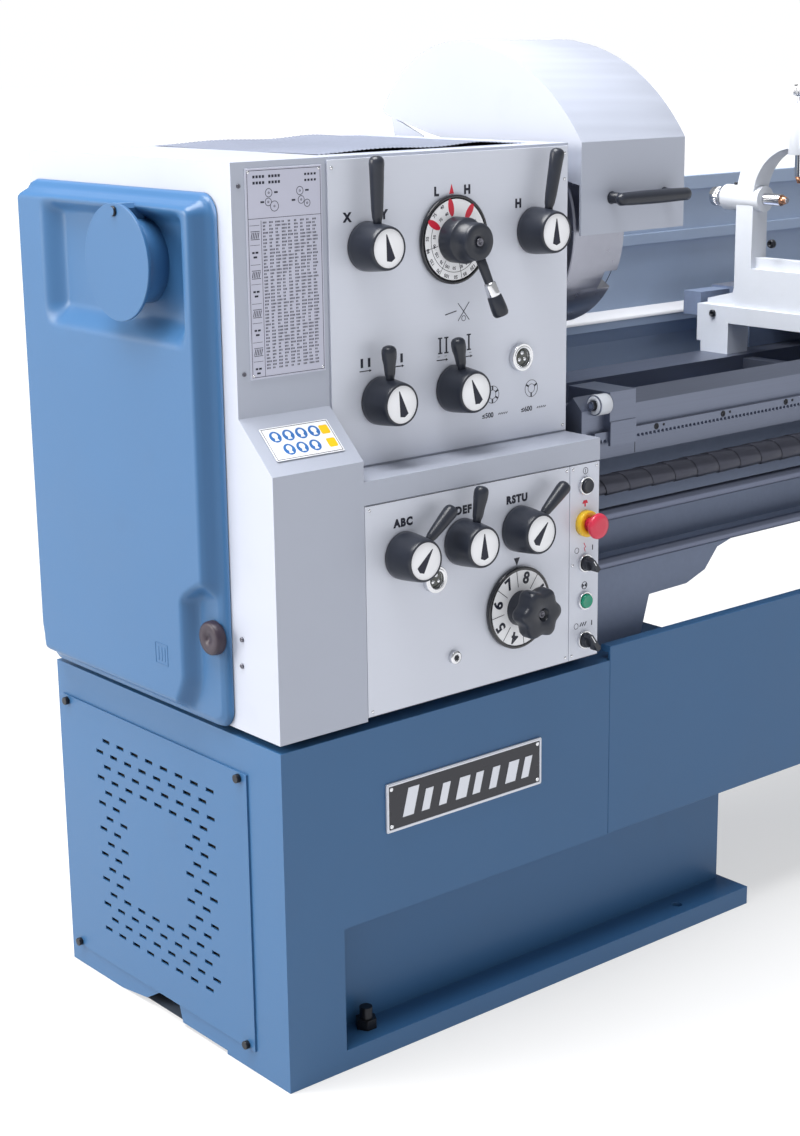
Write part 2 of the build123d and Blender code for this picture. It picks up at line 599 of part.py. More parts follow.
# ---------------------------------------------------------------- gears and drive

def gear_outline(teeth, module, centre, tooth_angle):
    """(y, z) points of a spur gear whose first tooth points along tooth_angle, in radians."""
    y0, z0 = centre
    root = module * (teeth / 2 - 1.2)
    tip = module * (teeth / 2 + 0.85)
    pitch = 2 * math.pi / teeth
    points = []
    for k in range(teeth):
        middle = tooth_angle + k * pitch
        for radius, part in ((root, -0.30), (tip, -0.10), (tip, 0.10), (root, 0.30)):
            angle = middle + part * pitch
            points.append((y0 + radius * math.cos(angle), z0 + radius * math.sin(angle)))
    return points


def mesh_angle(centre_a, teeth_a, angle_a, centre_b, teeth_b):
    """Angle of gear b's first tooth so that it meshes with gear a."""
    line = math.atan2(centre_b[1] - centre_a[1], centre_b[0] - centre_a[0])
    pitch_a = 2 * math.pi / teeth_a
    pitch_b = 2 * math.pi / teeth_b
    part = ((line - angle_a) / pitch_a) % 1.0
    return line + math.pi + part * pitch_b + pitch_b / 2


def change_idler_place():
    """Centre of the idler gear, in mesh with the gears above and below it."""
    top_r, idler_r, bottom_r = [CHANGE_MODULE * n / 2 for n in CHANGE_TEETH]
    reach_top = top_r + idler_r + MESH_SLACK
    reach_bottom = bottom_r + idler_r + MESH_SLACK
    dy = CHANGE_BOTTOM[0] - CHANGE_TOP[0]
    dz = CHANGE_BOTTOM[1] - CHANGE_TOP[1]
    span = math.hypot(dy, dz)
    along = (reach_top**2 - reach_bottom**2 + span**2) / (2 * span)
    across = math.sqrt(reach_top**2 - along**2)
    return (CHANGE_TOP[0] + along * dy / span - across * dz / span,
            CHANGE_TOP[1] + along * dz / span + across * dy / span)


def change_gears():
    """Gear on the headstock's stub shaft, idler on its stud and gear on the feed box's input shaft."""
    idler = change_idler_place()
    n_top, n_idler, n_bottom = CHANGE_TEETH
    x0 = CHANGE_X
    x1 = CHANGE_X + CHANGE_W
    angle_top = mesh_angle(idler, n_idler, 0.0, CHANGE_TOP, n_top)
    angle_bottom = mesh_angle(idler, n_idler, 0.0, CHANGE_BOTTOM, n_bottom)
    top = prism_x(gear_outline(n_top, CHANGE_MODULE, CHANGE_TOP, angle_top), x0, x1)
    top += rod_x(x0 - 10, HEAD_LEFT + 60, *CHANGE_TOP, 12)
    middle = prism_x(gear_outline(n_idler, CHANGE_MODULE, idler, 0.0), x0, x1)
    middle += rod_x(x0 - 4, x1 + 14, *idler, 26)
    middle -= rod_x(x0 - 9, x1 + 15, *idler, 12 + FIT)
    bottom = prism_x(gear_outline(n_bottom, CHANGE_MODULE, CHANGE_BOTTOM, angle_bottom), x0, x1)
    bottom += rod_x(x0 - 10, FEED_LEFT + 40, *CHANGE_BOTTOM, 12)
    return top, middle, bottom


def grooved_pulley(x0, x1, y, z, r):
    """Pulley with one groove for each belt."""
    body = rod_x(x0, x1, y, z, r + 5)
    for x in BELT_XS:
        groove = rod_x(x - 5.6, x + 5.6, y, z, r + 6) - rod_x(x - 6, x + 6, y, z, r - 7)
        body -= groove
    return body


def drive_belts():
    """Three belts, each an open loop round both pulleys."""
    length = math.hypot(INPUT_Y - MOTOR_Y, INPUT_Z - MOTOR_Z)
    line = math.atan2(INPUT_Z - MOTOR_Z, INPUT_Y - MOTOR_Y)
    lean = math.acos((MOTOR_PULLEY_R - PULLEY_R) / length)

    def loop(grow, x0, x1):
        def at(y, z, r, angle):
            return (x0, y + r * math.cos(angle), z + r * math.sin(angle))
        small = (MOTOR_Y, MOTOR_Z, MOTOR_PULLEY_R + grow)
        large = (INPUT_Y, INPUT_Z, PULLEY_R + grow)
        edges = [
            Line(at(*small, line + lean), at(*large, line + lean)),
            ThreePointArc(at(*large, line + lean), at(*large, line), at(*large, line - lean)),
            Line(at(*large, line - lean), at(*small, line - lean)),
            ThreePointArc(at(*small, line - lean), at(*small, line + math.pi), at(*small, line + lean)),
        ]
        return extrude(make_face(edges), amount=x1 - x0, dir=(1, 0, 0))

    return [loop(2, x - 5, x + 5) - loop(-6, x - 6, x + 6) for x in BELT_XS]


def input_shaft():
    """Driven shaft of the headstock with its pulley and pinion."""
    idle_angle = mesh_angle((SPINDLE_Y, SPINDLE_Z), BULL_TEETH, 0.0, (INPUT_Y, INPUT_Z), PINION_TEETH)
    pinion = prism_x(gear_outline(PINION_TEETH, drive_module(), (INPUT_Y, INPUT_Z), idle_angle),
                     DRIVE_GEAR_X - 5, DRIVE_GEAR_X + DRIVE_GEAR_W + 5)
    shaft = rod_x(40, DRIVE_GEAR_X + DRIVE_GEAR_W + 30, INPUT_Y, INPUT_Z, 15)
    return fuse([grooved_pulley(44, 92, INPUT_Y, INPUT_Z, PULLEY_R), shaft, pinion])


def drive_module():
    """Module that fits the headstock's gear pair to its shaft centres."""
    centres = math.hypot(INPUT_Y - SPINDLE_Y, INPUT_Z - SPINDLE_Z) - MESH_SLACK
    return 2 * centres / (BULL_TEETH + PINION_TEETH)


def spindle():
    """Hollow main spindle, the flange that carries the chuck and the bull gear."""
    shaft = rod_x(SPINDLE_LEFT, CHUCK_BACK, SPINDLE_Y, SPINDLE_Z, SPINDLE_R)
    shaft -= rod_x(SPINDLE_LEFT - 1, CHUCK_BACK + 1, SPINDLE_Y, SPINDLE_Z, BORE_R)
    seat = rod_x(SPINDLE_LEFT - 1, CHUCK_BACK + 1, SPINDLE_Y, SPINDLE_Z, SPINDLE_R)
    flange = rod_x(NOSE_X, CHUCK_BACK, SPINDLE_Y, SPINDLE_Z, 92) - seat
    bull = prism_x(gear_outline(BULL_TEETH, drive_module(), (SPINDLE_Y, SPINDLE_Z), 0.0),
                   DRIVE_GEAR_X, DRIVE_GEAR_X + DRIVE_GEAR_W) - seat
    return [shaft, flange, bull]


def chuck_body():
    """Three-jaw chuck with radial jaw slots and a key socket for each jaw."""
    body = rod_x(CHUCK_BACK, CHUCK_FRONT, SPINDLE_Y, SPINDLE_Z, CHUCK_R)
    body = chamfer(body.edges().filter_by(GeomType.CIRCLE), 3)
    body -= rod_x(CHUCK_BACK - 1, CHUCK_FRONT + 1, SPINDLE_Y, SPINDLE_Z, 45)
    for k in range(3):
        turn = Pos(0, SPINDLE_Y, SPINDLE_Z) * Rot(120 * k, 0, 0)
        slot = block(CHUCK_FRONT - 30.4, CHUCK_FRONT + 1, -JAW_WIDTH / 2 - 0.4, JAW_WIDTH / 2 + 0.4, 20, CHUCK_R + 5)
        socket = rod_z(CHUCK_R - 40, CHUCK_R + 2, (CHUCK_BACK + CHUCK_FRONT) / 2 - 8, 0, 9)
        body -= turn * slot
        body -= turn * Rot(60, 0, 0) * socket
    return body


def chuck_jaw(k):
    """Stepped jaw of the chuck; jaw 0 points up."""
    x0 = CHUCK_FRONT - 30
    outer = JAW_INNER + JAW_LENGTH
    half = JAW_WIDTH / 2
    steps = block(x0, CHUCK_FRONT + 16, -half, half, JAW_INNER, outer)
    steps += block(x0, CHUCK_FRONT + 36, -half, half, JAW_INNER, JAW_INNER + 56)
    steps += block(x0, CHUCK_FRONT + 56, -half, half, JAW_INNER, JAW_INNER + 28)
    return Pos(0, SPINDLE_Y, SPINDLE_Z) * Rot(120 * k, 0, 0) * steps


def motor():
    """Foot-mounted electric motor on its plate, with its terminal box."""
    body = rod_x(165, 440, MOTOR_Y, MOTOR_Z, 95)
    shield = rod_x(150, 166, MOTOR_Y, MOTOR_Z, 80) - rod_x(149, 170, MOTOR_Y, MOTOR_Z, 18)
    fan_cover = rod_x(440, 490, MOTOR_Y, MOTOR_Z, 90)
    foot = block(200, 400, MOTOR_Y - 80, MOTOR_Y + 80, 130, 170)
    terminal = block(250, 340, MOTOR_Y - 50, MOTOR_Y + 50, MOTOR_Z + 90, MOTOR_Z + 130)
    plate = block(150, 500, 290, DEPTH - RECESS_DEPTH - WALL, 118, 130)
    return fuse([body, shield, fan_cover, foot, terminal, plate]) - rod_x(149, 190, MOTOR_Y, MOTOR_Z, 15)


def motor_pulley():
    return grooved_pulley(44, 92, MOTOR_Y, MOTOR_Z, MOTOR_PULLEY_R) + rod_x(40, 185, MOTOR_Y, MOTOR_Z, 14)


# ---------------------------------------------------------------- levers, dials and switches

def selector(x, z, lean, length, plate_y):
    """Round knob with a radial handle and the shaft that goes through the plate."""
    back = plate_y - KNOB_GAP
    barrel = cone_y(x, z, back, back - KNOB_DEPTH, KNOB_BACK_R, KNOB_FRONT_R)
    face = rod_y(back - KNOB_DEPTH - 1, back - KNOB_DEPTH + 2, x, z, KNOB_FRONT_R - 3)
    neck = Pos(0, 0, 38) * Cylinder(6, 36)
    grip_length = length - 50
    grip = Pos(0, 0, 46 + grip_length / 2) * Cone(6.5, 10.5, grip_length)
    end = Pos(0, 0, length - 6) * Sphere(11)
    handle = Pos(x, back - KNOB_DEPTH / 2, z) * Rot(0, lean, 0) * fuse([neck, grip, end])
    shaft = rod_y(back - 1, plate_y + 24, x, z, PIN_R)
    return fuse([barrel, face, handle, shaft])


def speed_dial():
    """Speed disc with its stepped hub and crank handle."""
    x, z, r = SPEED_DIAL
    plate_y = HEAD_FRONT - PLATE
    disc = rod_y(plate_y - 7, plate_y - KNOB_GAP, x, z, r)
    hub = rod_y(plate_y - 34, plate_y - 6, x, z, 33) + rod_y(plate_y - 60, plate_y - 33, x, z, 27)
    neck = Pos(0, 0, 45) * Cylinder(7, 50)
    grip = Pos(0, 0, 84) * Cone(8, 12, 44)
    end = Pos(0, 0, 104) * Sphere(12.5)
    arm = Pos(x, plate_y - 46, z) * Rot(0, 160, 0) * Rot(8, 0, 0) * fuse([neck, grip, end])
    shaft = rod_y(plate_y - 10, plate_y + 24, x, z, PIN_R)
    return fuse([disc, hub, arm, shaft])


def feed_dial():
    """Numbered feed disc with its lobed hand knob."""
    x, z, r = FEED_DIAL
    disc = rod_y(-8, -KNOB_GAP, x, z, r)
    stem = rod_y(-30, -7, x, z, 26)
    core = rod_y(-60, -28, x, z, 33)
    lobes = [rod_y(-58, -30, x + 31 * math.cos(math.radians(60 * k)), z + 31 * math.sin(math.radians(60 * k)), 10)
             for k in range(6)]
    knob = fuse([core] + lobes)
    knob = knob - rod_y(-61, -52, x, z, 9)
    shaft = rod_y(-8, PLATE + 24, x, z, PIN_R)
    return fuse([disc, stem, knob, shaft])


def push_button(z, front, head_r):
    """Button with its stem in the switch hole."""
    stem = rod_y(-front + 4, 22, BUTTON_X, z, BUTTON_R)
    head = rod_y(-front, -front + 6, BUTTON_X, z, head_r)
    return stem + head


def rotary_switch(z, bar_length):
    """Turn switch with a raised bar."""
    stem = rod_y(-14, 22, BUTTON_X, z, BUTTON_R)
    bar = Pos(BUTTON_X, -18, z) * Rot(0, -35, 0) * Box(9, 16, bar_length)
    return stem + bar


# ---------------------------------------------------------------- rods and covers

def lead_screw():
    return rod_x(ROD_START, ROD_END - 10, ROD_Y, LEAD_Z, LEAD_R)


def feed_rod():
    rod = rod_x(ROD_START, ROD_END - 10, ROD_Y, FEED_ROD_Z, FEED_ROD_R)
    return rod - block(FEED_RIGHT + 20, ROD_END - 50, ROD_Y - 2.5, ROD_Y + 2.5, FEED_ROD_Z + 7.5, FEED_ROD_Z + 12)


def control_rod():
    """Start and stop rod, and the hand lever clamped on it at the right of the apron's travel."""
    rod = rod_x(ROD_START, ROD_END - 10, ROD_Y, CONTROL_Z, CONTROL_R)
    collar = rod_x(2180, 2215, ROD_Y, CONTROL_Z, 19)
    arm = Pos(2197, ROD_Y, CONTROL_Z) * Rot(75, 0, 0) * (Pos(0, 0, 62) * Cylinder(6, 100))
    knob = Pos(2197, ROD_Y, CONTROL_Z) * Rot(75, 0, 0) * (Pos(0, 0, 118) * Sphere(16))
    return [rod, fuse([collar, arm, knob]) - rod]


def screw_cover():
    """Spiral steel cover of the lead screw, drawn out in overlapping turns that widen to the right."""
    turns = 14
    x0 = FEED_RIGHT + 2
    length = COVER_END - x0
    pieces = []
    for k in range(turns):
        start = x0 + k * length / turns
        pieces.append(rod_x(start, start + length / turns, ROD_Y, LEAD_Z, 16.5 + 6.0 * k / turns))
    return fuse(pieces) - rod_x(x0 - 1, COVER_END + 1, ROD_Y, LEAD_Z, LEAD_R + 0.8)


# ---------------------------------------------------------------- guards

def splash_guard():
    """Folded sheet behind the bed on two posts: rim, ledge, white shelf and lower shield."""
    x0 = WAYS_LEFT
    x1 = 2190
    upper = block(x0, x1, 596, 600, 950, 1208)
    rim = block(x0, x1, 584, 600, 1182, 1208)
    ledge = block(x0, x1, 586, 600, 1084, 1104)
    shelf = prism_x([(600, 962), (596, 962), (570, 950), (570, 930), (574, 930), (574, 944), (600, 955)], x0, x1)
    lower = prism_x([(570, 944), (574, 944), (590, 905), (590, 600), (586, 600), (586, 904)], x0, x1)
    posts = []
    for x in (700, 2110):
        posts.append(block(x, x + 50, 600, 636, 240, 1150) - block(x + 4, x + 46, 604, 637, 230, 1151))
        posts.append(block(x, x + 50, 588, 601, 700, 720))
    return fuse([upper, rim, ledge, shelf, lower] + posts)


def chuck_guard():
    """Curved hood over the chuck with a flat front, a left end plate, its pivot pin and a bridge handle."""
    y1 = GUARD_FRONT

    def outline(grow):
        front = y1 + grow
        top = 1466 - grow
        return [
            Line((0, front, GUARD_LIP), (0, front, 1320)),
            ThreePointArc((0, front, 1320), (0, 170 + 0.6 * grow, 1412 - 0.8 * grow), (0, 310, top)),
            ThreePointArc((0, 310, top), (0, 450 - 0.6 * grow, 1450 - 0.8 * grow), (0, 550 - grow, 1358 - 0.5 * grow)),
        ]

    def face(grow, bottom):
        edges = outline(grow)
        tail = (0, 550 - grow, 1358 - 0.5 * grow)
        edges.append(Line(tail, bottom))
        edges.append(Line(bottom, (0, y1 + grow, GUARD_LIP)))
        return make_face(edges)

    solid = extrude(face(0, (0, 300, 1200)), amount=GUARD_X1 - GUARD_X0, dir=(1, 0, 0))
    hollow = extrude(face(GUARD_T, (0, 300, 1150)), amount=GUARD_X1 - GUARD_X0 + 2, dir=(1, 0, 0))
    shell = solid - Pos(-1, 0, 0) * hollow
    end = extrude(face(0.5, (0, 300, 1200)), amount=GUARD_T, dir=(1, 0, 0))
    end -= prism_x([(y1 - 1, 1100), (y1 - 1, 1255), (430, 1325), (556, 1356), (556, 1100)], -1, GUARD_T + 1)
    ear = prism_x([(445, 1320), (455, GUARD_PIVOT_Z - 16), (505, GUARD_PIVOT_Z - 16), (525, 1350)], 0, GUARD_T)
    guard = Pos(GUARD_X0, 0, 0) * fuse([shell, end, ear])
    pin = rod_x(HEAD_RIGHT - 12, GUARD_X0 + 14, GUARD_PIVOT_Y, GUARD_PIVOT_Z, 9)
    collar = rod_x(GUARD_X0 - 18, GUARD_X0 + 1, GUARD_PIVOT_Y, GUARD_PIVOT_Z, 15)
    guard = fuse([guard, pin, collar])
    grip = rod_x(700, 850, y1 - 34, 1234, 9)
    for x in (716, 834):
        grip += rod_y(y1 - 34, y1 + 1, x, 1234, 7)
    return guard + grip


# ---------------------------------------------------------------- carriage

def saddle():
    """Saddle: shoes on both ways, a bridge between them and the long wiper nose at the back left."""
    front_shoe = block(SADDLE_X0, SADDLE_X1, 61, 128, WAY_Z + 0.5, 975)
    notch = prism_x([(58, WAY_Z - 1), (CREST_Y - 21.4, WAY_Z + 0.5), (CREST_Y, CREST_Z + 0.7),
                     (CREST_Y + 21.4, WAY_Z + 0.5), (101.5, WAY_Z - 1)], SADDLE_X0 - 1, SADDLE_X1 + 1)
    front_shoe -= notch
    front_beam = block(APRON_X0, APRON_X1, APRON_FRONT, 128, 936, 990)
    rear_shoe = block(SADDLE_X0, SADDLE_X1, 432, 530, REAR_WAY_Z + 0.4, SADDLE_TOP)
    rear_shoe -= block(SADDLE_X0 - 1, SADDLE_X1 + 1, REAR_WAY_Y1 + 0.5, 531, REAR_WAY_Z - 1, 930)
    nose = block(1388, SADDLE_X0 + 1, 486, 530, 950, 995)
    bridge = block(BRIDGE_X0, BRIDGE_X1, 61, 530, 940, SADDLE_TOP)
    body = fuse([front_shoe, front_beam, rear_shoe, nose, bridge])
    return body - rod_y(APRON_FRONT - 1, APRON_FRONT + 42, 1650, CROSS_SCREW_Z, 10 + FIT)


def apron():
    """Gear case under the saddle, and the lands behind it that the three rods pass between."""
    case = block(APRON_X0, APRON_X1, APRON_FRONT, APRON_CASE_BACK, APRON_BOTTOM, APRON_TOP)
    case = fillet(case.edges().filter_by(Axis.Z).group_by(Axis.Y)[0], 12)
    case -= rod_y(APRON_FRONT - 1, -35, WHEEL_X, WHEEL_Z, 12 + FIT)
    nut_lever = rod_y(APRON_FRONT - 30, APRON_FRONT, 1740, 760, 16)
    lever_arm = Pos(1740, APRON_FRONT - 20, 760) * Rot(0, 60, 0) * (Pos(0, 0, 60) * Cylinder(6, 100))
    lever_knob = Pos(1740, APRON_FRONT - 20, 760) * Rot(0, 60, 0) * (Pos(0, 0, 112) * Sphere(14))
    lands = []
    bottom = APRON_BOTTOM
    for z, r in ((CONTROL_Z, CONTROL_R), (FEED_ROD_Z, FEED_ROD_R), (LEAD_Z, LEAD_R)):
        lands.append(block(APRON_X0, APRON_X1, APRON_CASE_BACK, APRON_BACK, bottom, z - r - 1.5))
        bottom = z + r + 1.5
    lands.append(block(APRON_X0, APRON_X1, APRON_CASE_BACK, APRON_BACK, bottom, APRON_TOP))
    return [fuse([case, nut_lever, lever_arm, lever_knob])] + lands


def hand_wheel_y(x, y, z, radius, hub_depth, grip_angle):
    """Handwheel whose axis is along Y: rim, three spokes, hub and a grip that points to the operator."""
    rim = rod_y(y - 9, y + 9, x, z, radius + 8) - rod_y(y - 10, y + 10, x, z, radius - 8)
    rim = fillet(rim.edges().filter_by(GeomType.CIRCLE), 6)
    hub = rod_y(y - hub_depth / 2, y + hub_depth / 2, x, z, 26)
    spokes = []
    for k in range(3):
        spokes.append(Pos(x, y, z) * Rot(0, grip_angle + 120 * k, 0) * (Pos(0, 0, radius / 2) * Cylinder(7, radius)))
    gx = x + radius * math.sin(math.radians(grip_angle))
    gz = z + radius * math.cos(math.radians(grip_angle))
    grip = rod_y(y - 74, y, gx, gz, 9) + rod_y(y - 72, y - 14, gx, gz, 12)
    return fuse([rim, hub, grip] + spokes)


def carriage_wheel():
    wheel = hand_wheel_y(WHEEL_X, APRON_FRONT - 44, WHEEL_Z, 95, 50, 215)
    return wheel + rod_y(APRON_FRONT - 40, -40, WHEEL_X, WHEEL_Z, 12)


def cross_slide():
    """Long slide across the saddle, and the base that carries the top slide."""
    body = block(1575, 1725, -20, 400, SADDLE_TOP + 0.4, CROSS_TOP)
    body -= block(1610, 1690, -21, 401, SADDLE_TOP - 1, SADDLE_TOP + 22)
    base = block(1565, 1755, 68, 192, CROSS_TOP, CROSS_TOP + 21)
    return [body, base]


def cross_wheel():
    """Handwheel and screw of the cross slide, held in a bearing at the saddle's front."""
    wheel = hand_wheel_y(1650, APRON_FRONT - 88, CROSS_SCREW_Z, 70, 40, 40)
    return wheel + rod_y(APRON_FRONT - 90, APRON_FRONT + 40, 1650, CROSS_SCREW_Z, 10)


def top_slide():
    """Top slide with its screw, its crank and the stud of the tool post."""
    slide = block(1560, 1790, 80, 180, CROSS_TOP + 21.4, TOP_SLIDE_TOP)
    screw = rod_x(1790, 1830, 130, 1076, 12)
    crank = Pos(1834, 130, 1076) * Rot(30, 0, 0) * Box(10, 14, 120)
    grip = Pos(1834, 130, 1076) * Rot(30, 0, 0) * (Pos(20, 0, 52) * Rot(0, 90, 0) * Cylinder(9, 50))
    stud = rod_z(TOP_SLIDE_TOP - 1, TOP_SLIDE_TOP + 84, POST_X, POST_Y, 14)
    return fuse([slide, screw, crank, grip, stud])


def tool_post():
    """Four-way tool post with tool slots, clamping screws and its lever."""
    base = TOP_SLIDE_TOP + 0.4
    body = block(POST_X - 62, POST_X + 62, POST_Y - 62, POST_Y + 62, base, base + 80)
    core = block(POST_X - 34, POST_X + 34, POST_Y - 34, POST_Y + 34, base + 20, base + 52)
    slot = block(POST_X - 63, POST_X + 63, POST_Y - 63, POST_Y + 63, base + 20, base + 52) - core
    body -= slot
    body -= rod_z(base - 1, base + 84, POST_X, POST_Y, 14 + FIT)
    cap = rod_z(base + 80, base + 112, POST_X, POST_Y, 26) - rod_z(base + 70, base + 90, POST_X, POST_Y, 15)
    arm = Pos(POST_X, POST_Y, base + 98) * Rot(0, 0, 35) * Rot(0, 68, 0) * (Pos(0, 0, 80) * Cylinder(7, 130))
    knob = Pos(POST_X, POST_Y, base + 98) * Rot(0, 0, 35) * Rot(0, 68, 0) * (Pos(0, 0, 150) * Sphere(16))
    screws = []
    for dx in (-44, 0, 44):
        for dy in (-44, 44):
            screws.append(rod_z(base + 48, base + 98, POST_X + dx, POST_Y + dy, 6))
    for dx in (-44, 44):
        screws.append(rod_z(base + 48, base + 98, POST_X + dx, POST_Y, 6))
    return fuse([body, cap, arm, knob] + screws)


# ---------------------------------------------------------------- steady rest and tailstock

def steady_frame():
    """Steady rest: arch with three finger bosses on a base clamped to the inner ways."""
    x0 = STEADY_X0
    x1 = STEADY_X1
    mid = (x0 + x1) / 2
    outer = 132
    inner = 92
    arch = rod_x(x0 + 8, x1 - 8, SPINDLE_Y, SPINDLE_Z, outer)
    legs = block(x0 + 8, x1 - 8, SPINDLE_Y - outer, SPINDLE_Y + outer, 960, SPINDLE_Z)
    window = rod_x(x0, x1, SPINDLE_Y, SPINDLE_Z, inner)
    window += block(x0, x1, SPINDLE_Y - inner, SPINDLE_Y + inner, 1050, SPINDLE_Z)
    flare = prism_x([(72, 944), (72, 985), (120, 1000), (SPINDLE_Y - outer + 6, 1070), (SPINDLE_Y + outer - 6, 1070),
                     (410, 1000), (472, 985), (472, 944)], mid - 9, mid + 9)
    base = block(x0, x1, 66, 480, 944, 976)
    rear_foot = block(x0, x1, REAR_WAY_Y0 + 2, 480, REAR_WAY_Z, 946)
    rear_foot -= block(x0 - 1, x1 + 1, REAR_WAY_Y1, 481, REAR_WAY_Z - 1, 905)
    front_foot = block(x0, x1, 134, 200, 890, 946)
    front_foot -= prism_x([(147, 889), (165, 904), (183, 889)], x0 - 1, x1 + 1)
    body = fuse([arch, legs]) - window
    body = fuse([body, flare, base, rear_foot, front_foot])
    bosses = [
        rod_y(SPINDLE_Y + 80, SPINDLE_Y + 172, mid, SPINDLE_Z - 4, 24),
        rod_y(SPINDLE_Y - 172, SPINDLE_Y - 80, mid, SPINDLE_Z - 4, 24),
        rod_z(SPINDLE_Z + 80, SPINDLE_Z + 172, mid, SPINDLE_Y, 24),
    ]
    body = fuse([body] + bosses)
    body -= rod_y(SPINDLE_Y - 200, SPINDLE_Y + 200, mid, SPINDLE_Z - 4, FINGER_R + FIT)
    body -= rod_z(SPINDLE_Z, SPINDLE_Z + 200, mid, SPINDLE_Y, FINGER_R + FIT)
    return body


def steady_finger():
    """Sliding finger along +Z from the axis: tip, bar and adjusting knob."""
    tip = Pos(0, 0, 35) * Cone(5, 10, 14)
    bar = rod_z(41, 184, 0, 0, FINGER_R)
    knob = rod_z(184, 204, 0, 0, 17)
    return fuse([tip, bar, knob])


def steady_fingers():
    mid = (STEADY_X0 + STEADY_X1) / 2
    top = Pos(mid, SPINDLE_Y, SPINDLE_Z) * steady_finger()
    rear = Pos(mid, SPINDLE_Y, SPINDLE_Z - 4) * Rot(-90, 0, 0) * steady_finger()
    front = Pos(mid, SPINDLE_Y, SPINDLE_Z - 4) * Rot(90, 0, 0) * steady_finger()
    return top, rear, front


def tailstock_body():
    """Tailstock casting on the inner ways, bored for the quill."""
    base = block(TAIL_X0, TAIL_X1, 138, 428, 912, 975)
    front_foot = block(TAIL_X0, TAIL_X1, 138, 200, 890.4, 913)
    front_foot -= prism_x([(148, 889), (165, 903.9), (182, 889)], TAIL_X0 - 1, TAIL_X1 + 1)
    rear_foot = block(TAIL_X0, TAIL_X1, 402, 428, REAR_WAY_Z + 0.4, 913)
    column = prism_x([(190, 970), (215, 1150), (315, 1150), (340, 970)], TAIL_X0 + 20, TAIL_X1 - 20)
    barrel = rod_x(TAIL_X0 - 50, TAIL_X1, SPINDLE_Y, SPINDLE_Z, 62)
    body = fuse([base, front_foot, rear_foot, column, barrel])
    return body - rod_x(TAIL_X0 - 51, TAIL_X1 - 14, SPINDLE_Y, SPINDLE_Z, QUILL_R + FIT) - rod_x(
        TAIL_X1 - 20, TAIL_X1 + 1, SPINDLE_Y, SPINDLE_Z, 12 + FIT)


def quill():
    """Tailstock quill with its taper socket at the nose."""
    body = rod_x(QUILL_LEFT, TAIL_X1 - 120, SPINDLE_Y, SPINDLE_Z, QUILL_R)
    socket = Pos(QUILL_LEFT + 50, SPINDLE_Y, SPINDLE_Z) * Rot(0, 90, 0) * Cone(15.6, 13.0, 102)
    return body - socket


def tailstock_wheel():
    """Handwheel at the tailstock's end, with its shaft and grip."""
    x = TAIL_X1 + 34
    rim = rod_x(x - 10, x + 10, SPINDLE_Y, SPINDLE_Z, 104) - rod_x(x - 11, x + 11, SPINDLE_Y, SPINDLE_Z, 86)
    rim = fillet(rim.edges().filter_by(GeomType.CIRCLE), 6)
    hub = rod_x(x - 20, x + 20, SPINDLE_Y, SPINDLE_Z, 26)
    spokes = [Pos(x, SPINDLE_Y, SPINDLE_Z) * Rot(120 * k + 30, 0, 0) * (Pos(0, 0, 47) * Cylinder(7, 94))
              for k in range(3)]
    turn = math.radians(30)
    grip = rod_x(x, x + 70, SPINDLE_Y - 95 * math.sin(turn), SPINDLE_Z + 95 * math.cos(turn), 10)
    shaft = rod_x(TAIL_X1 - 100, x, SPINDLE_Y, SPINDLE_Z, 12)
    return fuse([rim, hub, grip, shaft] + spokes)


# ---------------------------------------------------------------- write every node

save("left_cabinet", left_cabinet())
save("right_cabinet", right_cabinet())
save("chip_tray", chip_tray())
save("vent_panel", vent_panel())
save("cabinet_screws", *cabinet_screws())
save("panel_plates", *panel_plates())
save("bezels", *bezels())
save("bed", *bed(), *bed_stop())
save("headstock_housing", *headstock_housing())
save("gear_casing", *gear_casing())
save("feed_box", feed_box())
save("splash_guard", splash_guard())
save("motor", motor())
save("drive_belts", *drive_belts())
save("screw_cover", screw_cover())

save("gear_door", gear_door())
save("door_knob", door_knob())
save("spindle_cap", spindle_cap())
save("spindle", *spindle())
save("chuck_body", chuck_body())
for jaw in range(3):
    save(f"chuck_jaw_{jaw + 1}", chuck_jaw(jaw))
save("input_shaft", input_shaft())
save("motor_pulley", motor_pulley())
for name, gear in zip(("change_gear_top", "change_gear_idler", "change_gear_bottom"), change_gears()):
    save(name, gear)

for name, (x, z, lean, length) in HEAD_LEVERS.items():
    save(name, selector(x, z, lean, length, HEAD_FRONT - PLATE))
for name, (x, z, lean, length) in FEED_LEVERS.items():
    save(name, selector(x, z, lean, length, 0))
save("speed_dial", speed_dial())
save("feed_dial", feed_dial())
save("jog_button", push_button(JOG_Z, 9, BUTTON_R))
save("stop_button", push_button(STOP_Z, 35, 20))
save("start_button", push_button(START_Z, 9, BUTTON_R))
save("mode_switch", rotary_switch(MODE_Z, 24))
save("pump_switch", rotary_switch(PUMP_Z, 34))

save("lead_screw", lead_screw())
save("feed_rod", feed_rod())
save("control_rod", *control_rod())
save("chuck_guard", chuck_guard())

save("saddle", saddle())
save("apron", *apron())
save("carriage_wheel", carriage_wheel())
save("cross_slide", *cross_slide())
save("cross_wheel", cross_wheel())
save("top_slide", top_slide())
save("tool_post", tool_post())

save("steady_frame", steady_frame())
for name, finger in zip(("steady_finger_top", "steady_finger_rear", "steady_finger_front"), steady_fingers()):
    save(name, finger)
save("tailstock_body", tailstock_body())
save("quill", quill())
save("tailstock_wheel", tailstock_wheel())
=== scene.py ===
import math
import random

import bmesh
import bpy
from mathutils import Matrix, Vector


